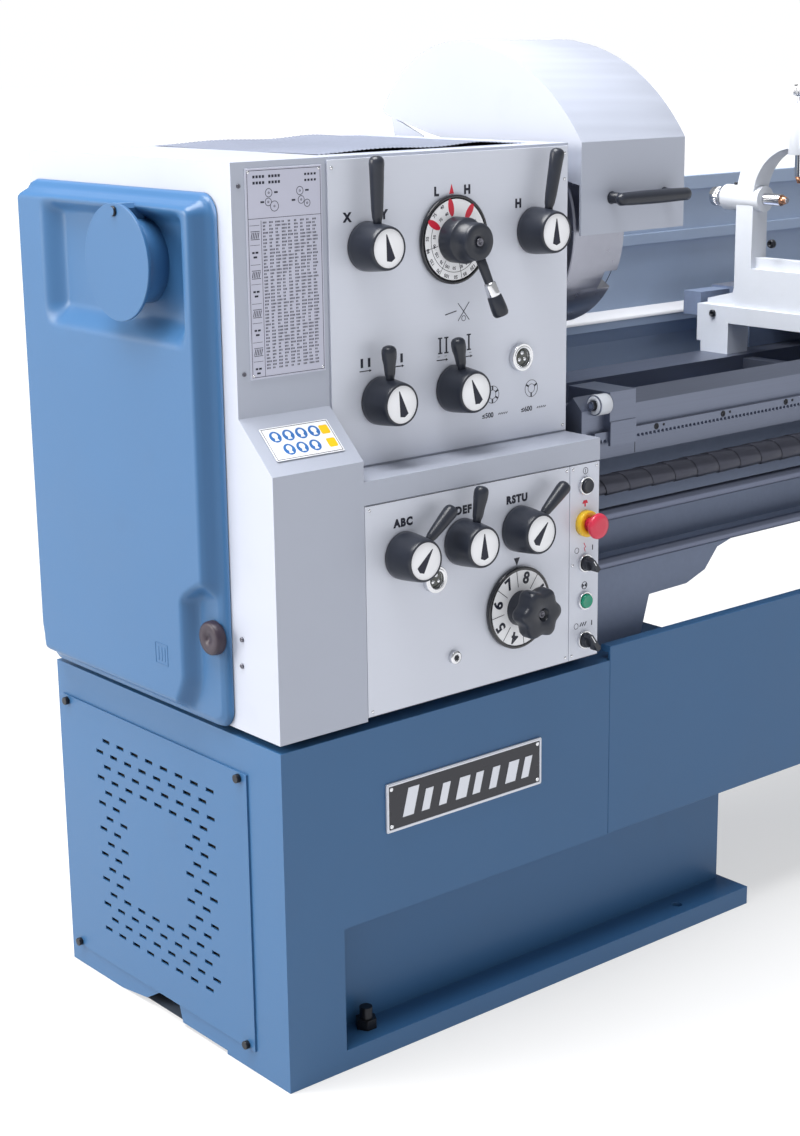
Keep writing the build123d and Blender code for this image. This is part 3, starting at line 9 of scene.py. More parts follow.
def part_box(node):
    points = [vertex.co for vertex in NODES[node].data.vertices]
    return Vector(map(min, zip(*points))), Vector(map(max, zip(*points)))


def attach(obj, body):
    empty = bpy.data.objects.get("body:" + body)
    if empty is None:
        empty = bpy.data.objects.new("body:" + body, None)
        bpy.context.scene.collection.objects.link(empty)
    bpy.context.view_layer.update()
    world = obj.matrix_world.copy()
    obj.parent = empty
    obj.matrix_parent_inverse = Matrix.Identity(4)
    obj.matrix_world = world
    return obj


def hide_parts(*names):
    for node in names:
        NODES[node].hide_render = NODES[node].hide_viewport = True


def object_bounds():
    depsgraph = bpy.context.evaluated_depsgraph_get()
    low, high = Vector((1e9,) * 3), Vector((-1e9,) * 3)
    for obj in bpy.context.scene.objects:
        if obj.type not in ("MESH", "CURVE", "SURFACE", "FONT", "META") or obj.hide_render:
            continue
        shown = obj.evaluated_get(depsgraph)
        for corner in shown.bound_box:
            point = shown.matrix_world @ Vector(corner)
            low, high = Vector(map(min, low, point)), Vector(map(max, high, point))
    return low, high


# A metal lathe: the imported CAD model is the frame, painted and detailed piece by piece.
# Lengths are millimetres measured from the left cabinet's front left bottom corner (the datum),
# X along the bed, Y to the back, Z up; MM turns them into the frame's metres.

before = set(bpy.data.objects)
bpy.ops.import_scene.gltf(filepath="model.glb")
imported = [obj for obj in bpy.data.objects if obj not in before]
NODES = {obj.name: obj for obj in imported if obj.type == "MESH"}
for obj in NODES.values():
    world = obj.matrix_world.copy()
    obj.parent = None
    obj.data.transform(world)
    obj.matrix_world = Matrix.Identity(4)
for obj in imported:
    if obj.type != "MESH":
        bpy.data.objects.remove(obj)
CAD_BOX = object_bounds()
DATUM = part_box("left_cabinet")[0]
MM = 0.001
random.seed(7)


def node_box(node):
    """Lowest and highest corner of a CAD node, in datum millimetres."""
    low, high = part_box(node)
    return (low - DATUM) / MM, (high - DATUM) / MM


def node_centre(node):
    low, high = node_box(node)
    return (low + high) / 2


# ---- places and print layers

HEAD_PLATE_Y = 74.0
FEED_PLATE_Y = 0.0
KNOB_GAP = 0.5
CHART_TOP = 1312.0
SPINDLE = node_centre("quill").y, node_centre("quill").z
ROD_Y = node_centre("lead_screw").y

# lowest and highest point of a print over its face, and its ink
INKED = (0.05, 0.3, "ink")
RED_INKED = (0.05, 0.3, "red_ink")
SHEET_INKED = (0.45, 0.62, "ink")


# ---- materials

MATERIALS = {}
BUMP_DEPTH = 0.0006


class Nodes:
    """A node tree, built one node at a time with its settings and incoming links."""

    def __init__(self, tree):
        self.tree = tree

    def add(self, kind, sockets=(), **settings):
        """New shader node; a socket is given a value, or another node's output to link from."""
        node = self.tree.nodes.new("ShaderNode" + kind)
        for name, value in settings.items():
            setattr(node, name, value)
        self.fill(node, sockets)
        return node

    def fill(self, node, sockets):
        for name, value in dict(sockets).items():
            if isinstance(value, bpy.types.NodeSocket):
                self.tree.links.new(value, node.inputs[name])
            else:
                node.inputs[name].default_value = value

    def place(self):
        return self.add("TexCoord").outputs["Object"]

    def noise(self, scale, detail, vector):
        return self.add("TexNoise", {"Scale": scale, "Detail": detail, "Vector": vector}).outputs["Fac"]

    def spread(self, value, low, high, start=0.0, end=1.0):
        """Maps start..end of a value to low..high."""
        return self.add("MapRange", {"From Min": start, "From Max": end, "To Min": low, "To Max": high,
                                     "Value": value}).outputs["Result"]

    def mix(self, factor, a, b, **settings):
        return self.add("Mix", {"Factor": factor, "A": a, "B": b}, data_type="RGBA",
                        **settings).outputs["Result"]

    def relief(self, height, strength, depth):
        return self.add("Bump", {"Strength": strength, "Distance": depth, "Height": height}).outputs["Normal"]


def new_material(name):
    """New node material, its tree, and its surface shader."""
    material = bpy.data.materials.new(name)
    material.use_nodes = True
    return material, Nodes(material.node_tree), material.node_tree.nodes["Principled BSDF"]


def finish(name, colour, metallic, roughness, grain=0.0, grain_size=40.0, mottle=0.06, mottle_size=3.0,
           bump=0.0, bump_size=400.0, stretch=(1, 1, 1), coat=0.0, rough_spread=0.08, dirt=0.0):
    """Procedural finish: slow mottle, directional grain in colour and roughness, and a surface bump."""
    material, nodes, shader = new_material(name)
    nodes.fill(shader, {"Metallic": metallic, "Coat Weight": coat, "Coat Roughness": 0.18,
                        "Specular IOR Level": 0.5 if metallic > 0.5 else 0.35})
    place = nodes.place()
    mapping = nodes.add("Mapping", {"Scale": stretch, "Vector": place}).outputs["Vector"]
    slow = nodes.noise(mottle_size, 3, place)
    fine = nodes.noise(grain_size, 5, mapping)
    dark = [c * (1 - mottle) for c in colour]
    light = [min(1.0, c * (1 + mottle)) for c in colour]
    tone = nodes.mix(slow, (*dark, 1), (*light, 1))
    if grain:
        value = nodes.spread(fine, 1 - grain, 1 + grain * 0.4)
        shade = nodes.add("CombineColor", {"Red": value, "Green": value, "Blue": value}).outputs["Color"]
        tone = nodes.mix(1.0, tone, shade, blend_type="MULTIPLY")
    if dirt:
        spots = nodes.spread(nodes.noise(11.0, 8, place), 0.0, dirt, 0.62, 0.75)
        tone = nodes.mix(spots, tone, (0.03, 0.028, 0.025, 1))
    rough = nodes.spread(fine, max(0.02, roughness - rough_spread), roughness + rough_spread)
    nodes.fill(shader, {"Base Color": tone, "Roughness": rough})
    if bump:
        nodes.fill(shader, {"Normal": nodes.relief(nodes.noise(bump_size, 3, mapping), bump, BUMP_DEPTH)})
    MATERIALS[name] = material
    return material


def turned_steel(name, colour, roughness, centre_y, centre_z, pitch):
    """Steel faced on a lathe: fine rings round an axis along X."""
    material = finish(name, colour, 1.0, roughness, grain=0.1, grain_size=60, mottle=0.1, mottle_size=6)
    nodes = Nodes(material.node_tree)
    moved = nodes.add("Mapping", {"Location": (0, -centre_y, -centre_z), "Scale": (0, 1, 1),
                                  "Vector": nodes.place()}).outputs["Vector"]
    rings = nodes.add("TexWave", {"Scale": 1 / pitch, "Distortion": 0.4, "Vector": moved},
                      wave_type="RINGS", rings_direction="X").outputs["Fac"]
    nodes.fill(material.node_tree.nodes["Principled BSDF"],
               {"Normal": nodes.relief(rings, 0.25, BUMP_DEPTH / 2)})


def two_tone(name, paint, steel, way_height):
    """Casting that is painted below way_height and ground bright above it."""
    tree = finish(name, paint, 0.0, 0.5, grain=0.12, grain_size=90, mottle=0.08, bump=0.3,
                  bump_size=160).node_tree
    nodes = Nodes(tree)
    place = nodes.place()
    along = nodes.add("Mapping", {"Scale": (0.4, 60, 60), "Vector": place}).outputs["Vector"]
    streaks = nodes.noise(14.0, 6, along)
    tone = nodes.mix(streaks, (*[c * 0.8 for c in steel], 1), (*steel, 1))
    ground = nodes.add("BsdfPrincipled", {"Metallic": 0.85, "Base Color": tone,
                                          "Roughness": nodes.spread(streaks, 0.28, 0.5)})
    height = nodes.add("SeparateXYZ", {"Vector": place}).outputs["Z"]
    edge = nodes.spread(height, 0.0, 1.0, way_height - BUMP_DEPTH, way_height + BUMP_DEPTH)
    mix = nodes.add("MixShader", {0: edge, 1: tree.nodes["Principled BSDF"].outputs["BSDF"],
                                  2: ground.outputs["BSDF"]})
    nodes.fill(tree.nodes["Material Output"], {"Surface": mix.outputs["Shader"]})


finish("blue_paint", (0.034, 0.112, 0.25), 0.0, 0.4, grain=0.05, grain_size=7, mottle=0.05, mottle_size=2.2,
       bump=0.12, bump_size=500, coat=0.08, dirt=0.04)
finish("white_paint", (0.405, 0.435, 0.52), 0.0, 0.42, grain=0.03, grain_size=9, mottle=0.025,
       mottle_size=2.0, bump=0.1, bump_size=600, coat=0.05, dirt=0.03)
finish("casting_white", (0.60, 0.63, 0.69), 0.0, 0.45, grain=0.05, grain_size=30, mottle=0.03, bump=0.35,
       bump_size=150, coat=0.05)
finish("shield_paint", (0.36, 0.45, 0.61), 0.0, 0.42, grain=0.05, grain_size=12, mottle=0.07, bump=0.12,
       bump_size=500, coat=0.1)
finish("grey_casting", (0.17, 0.21, 0.30), 0.0, 0.5, grain=0.1, grain_size=60, mottle=0.08, bump=0.35,
       bump_size=150)
finish("plate", (0.62, 0.65, 0.74), 0.1, 0.38, grain=0.03, grain_size=90, mottle=0.015, mottle_size=2.0,
       stretch=(0.3, 1, 14), bump=0.03, bump_size=300)
finish("chart", (0.50, 0.51, 0.62), 0.1, 0.42, grain=0.04, grain_size=60, mottle=0.03, bump=0.03)
finish("label_white", (0.85, 0.86, 0.90), 0.0, 0.35, grain=0.02, mottle=0.01)
for name, colour, metallic, roughness, grain, mottle, stretch, bump in (
        ("steel", (0.42, 0.43, 0.47), 1.0, 0.3, 0.16, 0.08, (0.6, 14, 14), 0.06),
        ("dark_steel", (0.16, 0.16, 0.19), 0.9, 0.36, 0.2, 0.12, (1, 9, 9), 0.1),
        # rod steel: polished steel darkened and tinted blue, a painted shade for the rods under the bed
        ("shaded_rod_steel", (0.15, 0.17, 0.24), 0.8, 0.34, 0.16, 0.1, (0.6, 14, 14), 0.06),
        ("spring_steel", (0.055, 0.058, 0.08), 0.7, 0.34, 0.25, 0.15, (1, 9, 9), 0.1)):
    finish(name, colour, metallic, roughness, grain, mottle=mottle, stretch=stretch, bump=bump, bump_size=200)
finish("bright", (0.72, 0.73, 0.76), 1.0, 0.16, grain=0.06, grain_size=80, mottle=0.04, rough_spread=0.05)
finish("screw_black", (0.02, 0.022, 0.028), 0.6, 0.36, grain=0.2, grain_size=120, mottle=0.2, bump=0.1)
finish("black_plastic", (0.02, 0.024, 0.036), 0.0, 0.34, grain=0.2, grain_size=70, mottle=0.15, bump=0.16,
       bump_size=700, coat=0.1)
finish("black_gloss", (0.011, 0.012, 0.018), 0.0, 0.18, grain=0.1, grain_size=60, mottle=0.1, coat=0.5)
finish("rubber_mat", (0.17, 0.19, 0.25), 0.0, 0.7, grain=0.2, grain_size=80, mottle=0.15, bump=0.3,
       bump_size=300)
finish("belt_rubber", (0.015, 0.015, 0.017), 0.0, 0.75, grain=0.2, grain_size=90, mottle=0.2, bump=0.3)
finish("red_plastic", (0.62, 0.028, 0.07), 0.0, 0.3, grain=0.05, mottle=0.05, bump=0.04, coat=0.4)
finish("yellow_plastic", (0.80, 0.50, 0.02), 0.0, 0.36, grain=0.05, mottle=0.05, bump=0.04, coat=0.2)
finish("green_plastic", (0.0, 0.26, 0.15), 0.0, 0.22, grain=0.05, mottle=0.08, coat=0.5)
finish("brown_plastic", (0.030, 0.021, 0.034), 0.0, 0.4, grain=0.15, mottle=0.12, bump=0.12, bump_size=500)
finish("brass", (0.60, 0.30, 0.18), 1.0, 0.28, grain=0.1, mottle=0.08)
finish("sight_glass", (0.03, 0.035, 0.03), 0.0, 0.08, grain=0.1, mottle=0.3, mottle_size=60, coat=0.8)
finish("ink", (0.012, 0.014, 0.03), 0.0, 0.5, grain=0.1, mottle=0.1)
for name, colour in (("red_ink", (0.62, 0.02, 0.05)), ("blue_ink", (0.03, 0.15, 0.45)),
                     ("yellow_ink", (0.85, 0.55, 0.01))):
    finish(name, colour, 0.0, 0.45, grain=0.06, mottle=0.06)
finish("name_black", (0.012, 0.013, 0.022), 0.0, 0.3, grain=0.1, grain_size=80, mottle=0.1, coat=0.3)
finish("silver_print", (0.62, 0.64, 0.70), 0.8, 0.34, grain=0.06, mottle=0.05)
finish("motor_paint_and_floor_shadow", (0.10, 0.13, 0.18), 0.0, 0.5, grain=0.1, mottle=0.1, bump=0.3, bump_size=150)
turned_steel("chuck_steel", (0.33, 0.34, 0.40), 0.3, DATUM.y + SPINDLE[0] * MM, DATUM.z + SPINDLE[1] * MM,
             0.004)
two_tone("bed_finish", (0.17, 0.21, 0.31), (0.20, 0.225, 0.30), DATUM.z + 0.826)
two_tone("saddle_finish", (0.17, 0.215, 0.32), (0.40, 0.42, 0.50), DATUM.z + 0.9985)


# ---- building pieces

def front(x, y, z):
    """Local frame on a face that looks at the operator: u to the right, v up, w out of the face."""
    return Matrix(((1, 0, 0, x), (0, 0, -1, y), (0, 1, 0, z), (0, 0, 0, 1)))


def left(x, y, z):
    """Local frame on a face that looks to the left: u towards the operator, v up, w out of the face."""
    return Matrix(((0, 0, -1, x), (-1, 0, 0, y), (0, 1, 0, z), (0, 0, 0, 1)))


def right(x, y, z):
    """Local frame on a face that looks to the right: u to the back, v up, w out of the face."""
    return Matrix(((0, 0, 1, x), (1, 0, 0, y), (0, 1, 0, z), (0, 0, 0, 1)))


def top(x, y, z):
    """Local frame on a face that looks up: u to the right, v to the back, w up."""
    return Matrix.Translation((x, y, z))


def shift(u, v, w=0.0):
    return Matrix.Translation((u, v, w))


def turn(degrees, axis="Z"):
    return Matrix.Rotation(math.radians(degrees), 4, axis)


def polar(radius, angle):
    return radius * math.cos(angle), radius * math.sin(angle)


def rectangle(u, v, width, height):
    """Outline of a rectangle from its lower left corner."""
    return [(u, v), (u + width, v), (u + width, v + height), (u, v + height)]


def about(u, v, width, height):
    """Outline of a rectangle from its centre."""
    return rectangle(u - width / 2, v - height / 2, width, height)


def lattice(rows, columns, wrap=False):
    """Faces of a grid of points, row by row; wrap joins the last column to the first."""
    return [(r * columns + c, r * columns + (c + 1) % columns, (r + 1) * columns + (c + 1) % columns,
             (r + 1) * columns + c) for r in range(rows - 1) for c in range(columns if wrap else columns - 1)]


class Piece:
    """Collects faces in datum millimetres and becomes one Blender object that rides on a body."""

    def __init__(self, name):
        self.name = name
        self.bm = bmesh.new()
        self.slots = []

    def skin(self, points, faces, material, place=Matrix(), smooth=False):
        verts = [self.bm.verts.new(place @ Vector(p)) for p in points]
        if material not in self.slots:
            self.slots.append(material)
        for face in faces:
            made = self.bm.faces.new([verts[i] for i in face])
            made.material_index = self.slots.index(material)
            made.smooth = smooth

    def turned(self, profile, material, place, segments=40, smooth=True):
        """Solid of revolution about the local w axis; profile is (radius, w) from one end to the other."""
        points, index = [], []
        for radius, w in profile:
            if radius:
                index += range(len(points), len(points) + segments)
                points += [(*polar(radius, 2 * math.pi * k / segments), w) for k in range(segments)]
            else:
                index += [len(points)] * segments
                points.append((0, 0, w))
        faces = [list(dict.fromkeys(index[i] for i in quad))
                 for quad in lattice(len(profile), segments, wrap=True)]
        self.skin(points, [face for face in faces if len(face) > 2], material, place, smooth)

    def slab(self, outline, low, high, material, place, smooth=False):
        """Straight-sided slab between two w heights with the given (u, v) outline."""
        n = len(outline)
        points = [(u, v, low) for u, v in outline] + [(u, v, high) for u, v in outline]
        faces = [tuple(range(n - 1, -1, -1)), tuple(range(n, 2 * n))]
        faces += [(k, (k + 1) % n, n + (k + 1) % n, n + k) for k in range(n)]
        self.skin(points, faces, material, place, smooth)

    def rounded(self, size_u, size_v, low, high, corner, material, place, ease=0.6):
        """Rounded-corner slab with an eased top edge."""
        def ring(shrink):
            pts = []
            r = max(0.05, corner - shrink)
            for cu, cv, start in ((1, 1, 0), (-1, 1, 90), (-1, -1, 180), (1, -1, 270)):
                for k in range(6):
                    du, dv = polar(r, math.radians(start + 18 * k))
                    pts.append((cu * (size_u / 2 - corner) + du, cv * (size_v / 2 - corner) + dv))
            return pts
        rings = [(0, low), (0, high - ease), (ease * 0.3, high - ease * 0.3), (ease, high)]
        points = [(u, v, w) for shrink, w in rings for u, v in ring(shrink)]
        n = len(points) // len(rings)
        ends = [tuple(range(n - 1, -1, -1)), tuple(range(3 * n, 4 * n))]
        self.skin(points, ends + lattice(len(rings), n, wrap=True), material, place)

    def tube(self, path, radii, material, sides=16):
        """Round tube along a path of points, with one radius for each point."""
        path = [Vector(p) for p in path]
        points = []
        normal = None
        for k, p in enumerate(path):
            ahead = path[min(k + 1, len(path) - 1)] - path[max(k - 1, 0)]
            ahead.normalize()
            if normal is None:
                normal = ahead.orthogonal().normalized()
            normal = (normal - ahead * normal.dot(ahead)).normalized()
            other = ahead.cross(normal)
            for s in range(sides):
                a, b = polar(radii[k], 2 * math.pi * s / sides)
                points.append(p + normal * a + other * b)
        ends = [tuple(range(sides - 1, -1, -1)), tuple(range((len(path) - 1) * sides, len(path) * sides))]
        self.skin(points, lattice(len(path), sides, wrap=True) + ends, material, smooth=True)

    def ring(self, inner, outer, low, high, material, place, start=0.0, end=360.0, segments=64):
        """Flat ring or ring sector between two radii and two w heights."""
        count = max(2, int(segments * (end - start) / 360))
        whole = end - start >= 359.9
        points = []
        for k in range(count if whole else count + 1):
            a = math.radians(start + (end - start) * k / count)
            near, far = polar(inner, a), polar(outer, a)
            points += [(*near, low), (*far, low), (*far, high), (*near, high)]
        n = len(points) // 4
        faces = []
        for k in range(n if whole else n - 1):
            a, b = 4 * k, 4 * ((k + 1) % n)
            for i in range(4):
                faces.append((a + i, b + i, b + (i + 1) % 4, a + (i + 1) % 4))
        if not whole:
            faces += [(3, 2, 1, 0), (4 * n - 4, 4 * n - 3, 4 * n - 2, 4 * n - 1)]
        self.skin(points, faces, material, place)

    def line(self, a, b, width, low, high, material, place):
        """Straight printed line from a to b."""
        a, b = Vector(a), Vector(b)
        across = (b - a).orthogonal().normalized() * width / 2
        self.slab([a - across, b - across, b + across, a + across], low, high, material, place)

    def text(self, words, height, place, weight, lift=0.05, depth=0.3, spacing=1.0):
        """Printed lettering; weight thickens its strokes."""
        curve = bpy.data.curves.new("text", "FONT")
        curve.body = words
        curve.size = height * 1.38
        curve.extrude = depth / 2
        curve.offset = weight
        curve.space_character = spacing
        curve.align_x = curve.align_y = "CENTER"
        curve.resolution_u = 3
        holder = bpy.data.objects.new("text", curve)
        bpy.context.scene.collection.objects.link(holder)
        bpy.context.view_layer.update()
        mesh = holder.evaluated_get(bpy.context.evaluated_depsgraph_get()).to_mesh()
        self.skin([v.co for v in mesh.vertices], [tuple(p.vertices) for p in mesh.polygons], "ink",
                  place @ shift(0, 0, lift + depth / 2))
        bpy.data.objects.remove(holder)
        bpy.data.curves.remove(curve)

    def done(self, body, replaced=(), bevel=0.0):
        bmesh.ops.recalc_face_normals(self.bm, faces=self.bm.faces)
        bmesh.ops.scale(self.bm, vec=(MM, MM, MM), verts=self.bm.verts)
        bmesh.ops.translate(self.bm, vec=DATUM, verts=self.bm.verts)
        mesh = bpy.data.meshes.new(self.name)
        self.bm.to_mesh(mesh)
        self.bm.free()
        for material in self.slots:
            mesh.materials.append(MATERIALS[material])
        piece = bpy.data.objects.new(self.name, mesh)
        bpy.context.scene.collection.objects.link(piece)
        if bevel:
            soften(piece, bevel)
        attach(piece, body)
        if replaced:
            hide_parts(*replaced)


def soften(piece, width):
    """Rounds sharp edges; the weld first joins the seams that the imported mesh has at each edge."""
    weld = piece.modifiers.new("join", "WELD")
    weld.merge_threshold = 2e-6
    flat = piece.modifiers.new("flat", "DECIMATE")
    flat.decimate_type = "DISSOLVE"
    flat.angle_limit = math.radians(0.5)
    bevel = piece.modifiers.new("edges", "BEVEL")
    bevel.width = width * MM
    bevel.segments = 2
    bevel.limit_method = "ANGLE"
    bevel.angle_limit = math.radians(40)
    bevel.harden_normals = True


def paint(node, material, edge):
    """Gives a CAD node its finish and slightly rounded edges."""
    thing = NODES[node]
    thing.data.materials.clear()
    thing.data.materials.append(MATERIALS[material])
    soften(thing, edge)


def screw_head(piece, place, radius, height, material, socket=True):
    """Round-topped screw head, with a hexagon socket or a plain dome."""
    profile = (((1, 0.6), (0.86, 1), (0.5, 1), (0.5, 0.45), (0, 0.4)) if socket else
               ((0.9, 0.6), (0.5, 0.95), (0, 1)))
    piece.turned([(0, 0), (radius, 0)] + [(radius * r, height * w) for r, w in profile], material, place, 18)


# ---- CAD nodes that keep their shape

# finish, then each node with the radius that its edges get
KEPT = {
    "blue_paint": {"left_cabinet": 2.5, "right_cabinet": 2.5, "chip_tray": 1.5, "vent_panel": 0.6,
                   "spindle_cap": 0.5},
    "screw_black": {"cabinet_screws": 0.8},
    "plate": {"panel_plates": 0.5},
    "bright": {"bezels": 0.8, "carriage_wheel": 0.4, "cross_wheel": 0.4, "steady_finger_top": 0.4,
        "steady_finger_rear": 0.4, "steady_finger_front": 0.4, "quill": 0.5, "tailstock_wheel": 0.4},
    "bed_finish": {"bed": 1.0},
    "white_paint": {"headstock_housing": 1.5, "gear_casing": 3.0, "feed_box": 1.2, "chuck_guard": 0.6,
                    "apron": 2.0},
    "shield_paint": {"splash_guard": 1.0},
    "motor_paint_and_floor_shadow": {"motor": 1.5},
    "belt_rubber": {"drive_belts": 1.0},
    "steel": {"spindle": 0.6, "chuck_jaw_1": 0.6, "chuck_jaw_2": 0.6, "chuck_jaw_3": 0.6, "cross_slide": 1.0,
        "top_slide": 1.0},
    "chuck_steel": {"chuck_body": 0.8},
    "dark_steel": {"input_shaft": 0.5, "motor_pulley": 0.5, "change_gear_top": 0.3, "change_gear_idler": 0.3,
        "change_gear_bottom": 0.3, "tool_post": 1.0},
    "shaded_rod_steel": {"feed_rod": 0.4, "control_rod": 0.4},
    "saddle_finish": {"saddle": 1.5},
    "casting_white": {"steady_frame": 3.0},
    "grey_casting": {"tailstock_body": 3.0},
}
for material, nodes in KEPT.items():
    for node, edge in nodes.items():
        paint(node, material, edge)


# ---- gear door

def smooth_step(value, low, high):
    t = min(1.0, max(0.0, (value - low) / (high - low)))
    return t * t * (3 - 2 * t)


def plateau(value, start, full, fall, end):
    """Rises from 0 at start to 1 at full, and falls again from fall to end."""
    return smooth_step(value, start, full) * smooth_step(value, end, fall)


def door_height(y, z, low, high, corner):
    """How far the pressed door stands off the casing at (y, z): a flange, a raised field with a shallow pocket
    at the top, and a notch at the lower front corner for the lock knob."""
    middle_y, middle_z = (low.y + high.y) / 2, (low.z + high.z) / 2
    qy = abs(y - middle_y) - ((high.y - low.y) / 2 - corner)
    qz = abs(z - middle_z) - ((high.z - low.z) / 2 - corner)
    inside = corner - math.hypot(max(qy, 0), max(qz, 0)) - min(max(qy, qz), 0)
    flange, full, pocket_floor, notch_floor = 9.0, -low.x, 13.0, 12.5
    bottom = 10 * smooth_step(z, low.z + 90, low.z)
    height = flange * math.sqrt(min(1.0, max(0.0, inside / 4.0)))
    height += (full - flange) * smooth_step(inside, 6.0, 22.0 + bottom)
    pocket = plateau(y, 138, 168, 474, 512) * plateau(z, 1068, 1106, 1236, 1258)
    height -= (full - pocket_floor) * pocket * smooth_step(inside, 14.0, 30.0)
    edge = 172 - 60 * smooth_step(z, 704, 762) + 22 * smooth_step(z, 600, 540)
    notch = smooth_step(y, edge + 12, edge - 8) * smooth_step(z, 752, 716)
    return height * (1 - notch) + min(height, notch_floor) * notch


def door():
    """Pressed steel door: one relief sheet, closed at the back by its own inner skin."""
    low, high = node_box("gear_door")
    low = Vector((-35.0, low.y, low.z))
    high = Vector((-1.0, high.y - 18.0, high.z))
    piece = Piece("door_pressing")
    corner, sheet, sleeve_hole = 30.0, 1.2, 50
    rows, columns = 190, 128
    outer, inner = [], []
    for j in range(rows + 1):
        for i in range(columns + 1):
            y = low.y + (high.y - low.y) * i / columns
            z = low.z + (high.z - low.z) * j / rows
            cy = min(max(y, low.y + corner), high.y - corner)
            cz = min(max(z, low.z + corner), high.z - corner)
            a, b = (y - cy) / corner, (z - cz) / corner
            y = cy + a * math.sqrt(max(0, 1 - b * b / 2)) * corner
            z = cz + b * math.sqrt(max(0, 1 - a * a / 2)) * corner
            height = door_height(y, z, low, high, corner)
            outer.append((-sheet - height, y, z))
            inner.append((min(-sheet, -height + 1.8), y, z))
    stride, count = columns + 1, len(outer)
    front_quads = [quad for quad in lattice(rows + 1, stride)
                   if math.hypot(outer[quad[0]][1] - SPINDLE[0],
                                 outer[quad[0]][2] - SPINDLE[1]) >= sleeve_hole]
    rim = list(range(stride)) + [j * stride + columns for j in range(1, rows + 1)]
    rim += [rows * stride + i for i in range(columns - 1, -1, -1)]
    rim += [j * stride for j in range(rows - 1, 0, -1)]
    faces = front_quads + [tuple(count + i for i in reversed(quad)) for quad in front_quads]
    faces += [(rim[k], rim[(k + 1) % len(rim)], count + rim[(k + 1) % len(rim)], count + rim[k])
              for k in range(len(rim))]
    piece.skin(outer + inner, faces, "blue_paint", smooth=True)
    # sleeve that carries the round cap
    place = left(-1.5, SPINDLE[0], SPINDLE[1])
    cap_back = -node_box("spindle_cap")[0].x - 4.0
    piece.turned([(52, 0), (60, 0), (60, cap_back - 7.5), (59, cap_back - 7), (53, cap_back - 7),
                  (52, cap_back - 8), (52, 0)], "blue_paint", place, 64)
    lug = [(-13, 50), (13, 50), (13, 74), (8, 80), (-8, 80), (-13, 74)]
    piece.slab(lug, 20, cap_back - 7.2, "blue_paint", place)
    # hinge knuckles at the back edge
    hinge_y = node_box("gear_door")[1].y - 7.0
    for z in (598, 1158):
        piece.turned([(3.6, 0), (6.6, 0), (7, 0.6), (7, 21.4), (6.6, 22), (3.6, 22), (3.6, 0)], "steel",
                     top(-9, hinge_y, z), 24)
        piece.slab([(-4.5, -22), (4.5, -22), (4.5, -5), (-4.5, -5)], 0.4, 21.6, "blue_paint",
                   top(-9, hinge_y, z))
    # pressed mark near the bottom: three upright bars in a frame
    mark = left(-36.1, 234, 620)
    piece.ring(21, 22.5, -0.8, 0.6, "blue_paint", mark @ turn(45), segments=4)
    for k in range(3):
        piece.rounded(3.2, 22, -0.8, 0.7, 1.5, "blue_paint", mark @ shift(-8 + 8 * k, 0))
    piece.done("gear_door_body", ["gear_door"])


def door_lock():
    """Round brown knob on the latch shaft, with its latch bar behind the casing."""
    low, high = node_box("door_knob")
    radius = (high.y - low.y) / 2
    centre_y, centre_z = low.y + radius, high.z - radius
    depth = 16.0
    piece = Piece("lock_knob")
    place = left(low.x + depth, centre_y, centre_z)
    profile = [(0, 0), (radius - 2, 0), (radius - 0.2, 2.5), (radius, 5), (radius - 0.6, depth - 4),
               (radius - 2.2, depth - 1.2), (radius - 4.5, depth), (5, depth - 0.6), (4.2, depth - 2),
               (0, depth - 2)]
    piece.turned(profile, "brown_plastic", place, 56)
    piece.tube([(low.x + depth - 2, centre_y, centre_z), (12, centre_y, centre_z)], [6, 6], "steel")
    piece.rounded(14, 55, 0, 5, 5, "steel", right(12, centre_y, centre_z - 20.5))
    piece.done("door_knob_body", ["door_knob"])


def cap_screw():
    """Screw that the round cap swings on."""
    piece = Piece("cap_screw")
    low = node_box("spindle_cap")[0]
    screw_head(piece, left(low.x + 4.2, SPINDLE[0], SPINDLE[1] + 70), 7.2, 4.1, "screw_black")
    piece.done("spindle_cap_body")


# ---- selectors and dials

def selector(node, plate_y, centre, lean, reach):
    """Selector knob: tapered barrel, white face with an arrow, and its tapered handle."""
    x, z = centre
    place = front(x, plate_y, z)
    piece = Piece(node + "_knob")
    barrel = [(0, KNOB_GAP), (33.5, KNOB_GAP), (35, 2), (34.8, 10), (33.6, 24), (31.6, 42), (30.6, 48),
              (29.2, 50.6), (27.6, 51), (27, 50.2), (27, 49.6)]
    piece.turned(barrel, "black_plastic", place, 64)
    piece.turned([(27.1, 49.6), (26.6, 49.9), (0, 49.9)], "label_white", place, 64)
    arrow = place @ turn(-(lean - 12))
    piece.slab([(-7.5, -16), (0, -19), (7.5, -16), (0.6, 20), (-0.6, 20)], 49.8, 50.3, "ink", arrow)
    grip = [(0, 26), (6.0, 26), (6.2, 37), (7.0, 39), (7.6, 42), (8.7, 54), (10.4, reach - 19),
            (10.9, reach - 11), (10.4, reach - 6), (8.2, reach - 2.4), (4.4, reach - 0.6), (0, reach - 0.2)]
    piece.turned(grip, "black_plastic", place @ turn(-lean) @ shift(0, 0, 25.5) @ turn(-90, "X"), 28)
    piece.tube([(x, plate_y - 1, z), (x, plate_y + 24, z)], [8, 8], "steel")
    piece.done(node + "_body", [node])


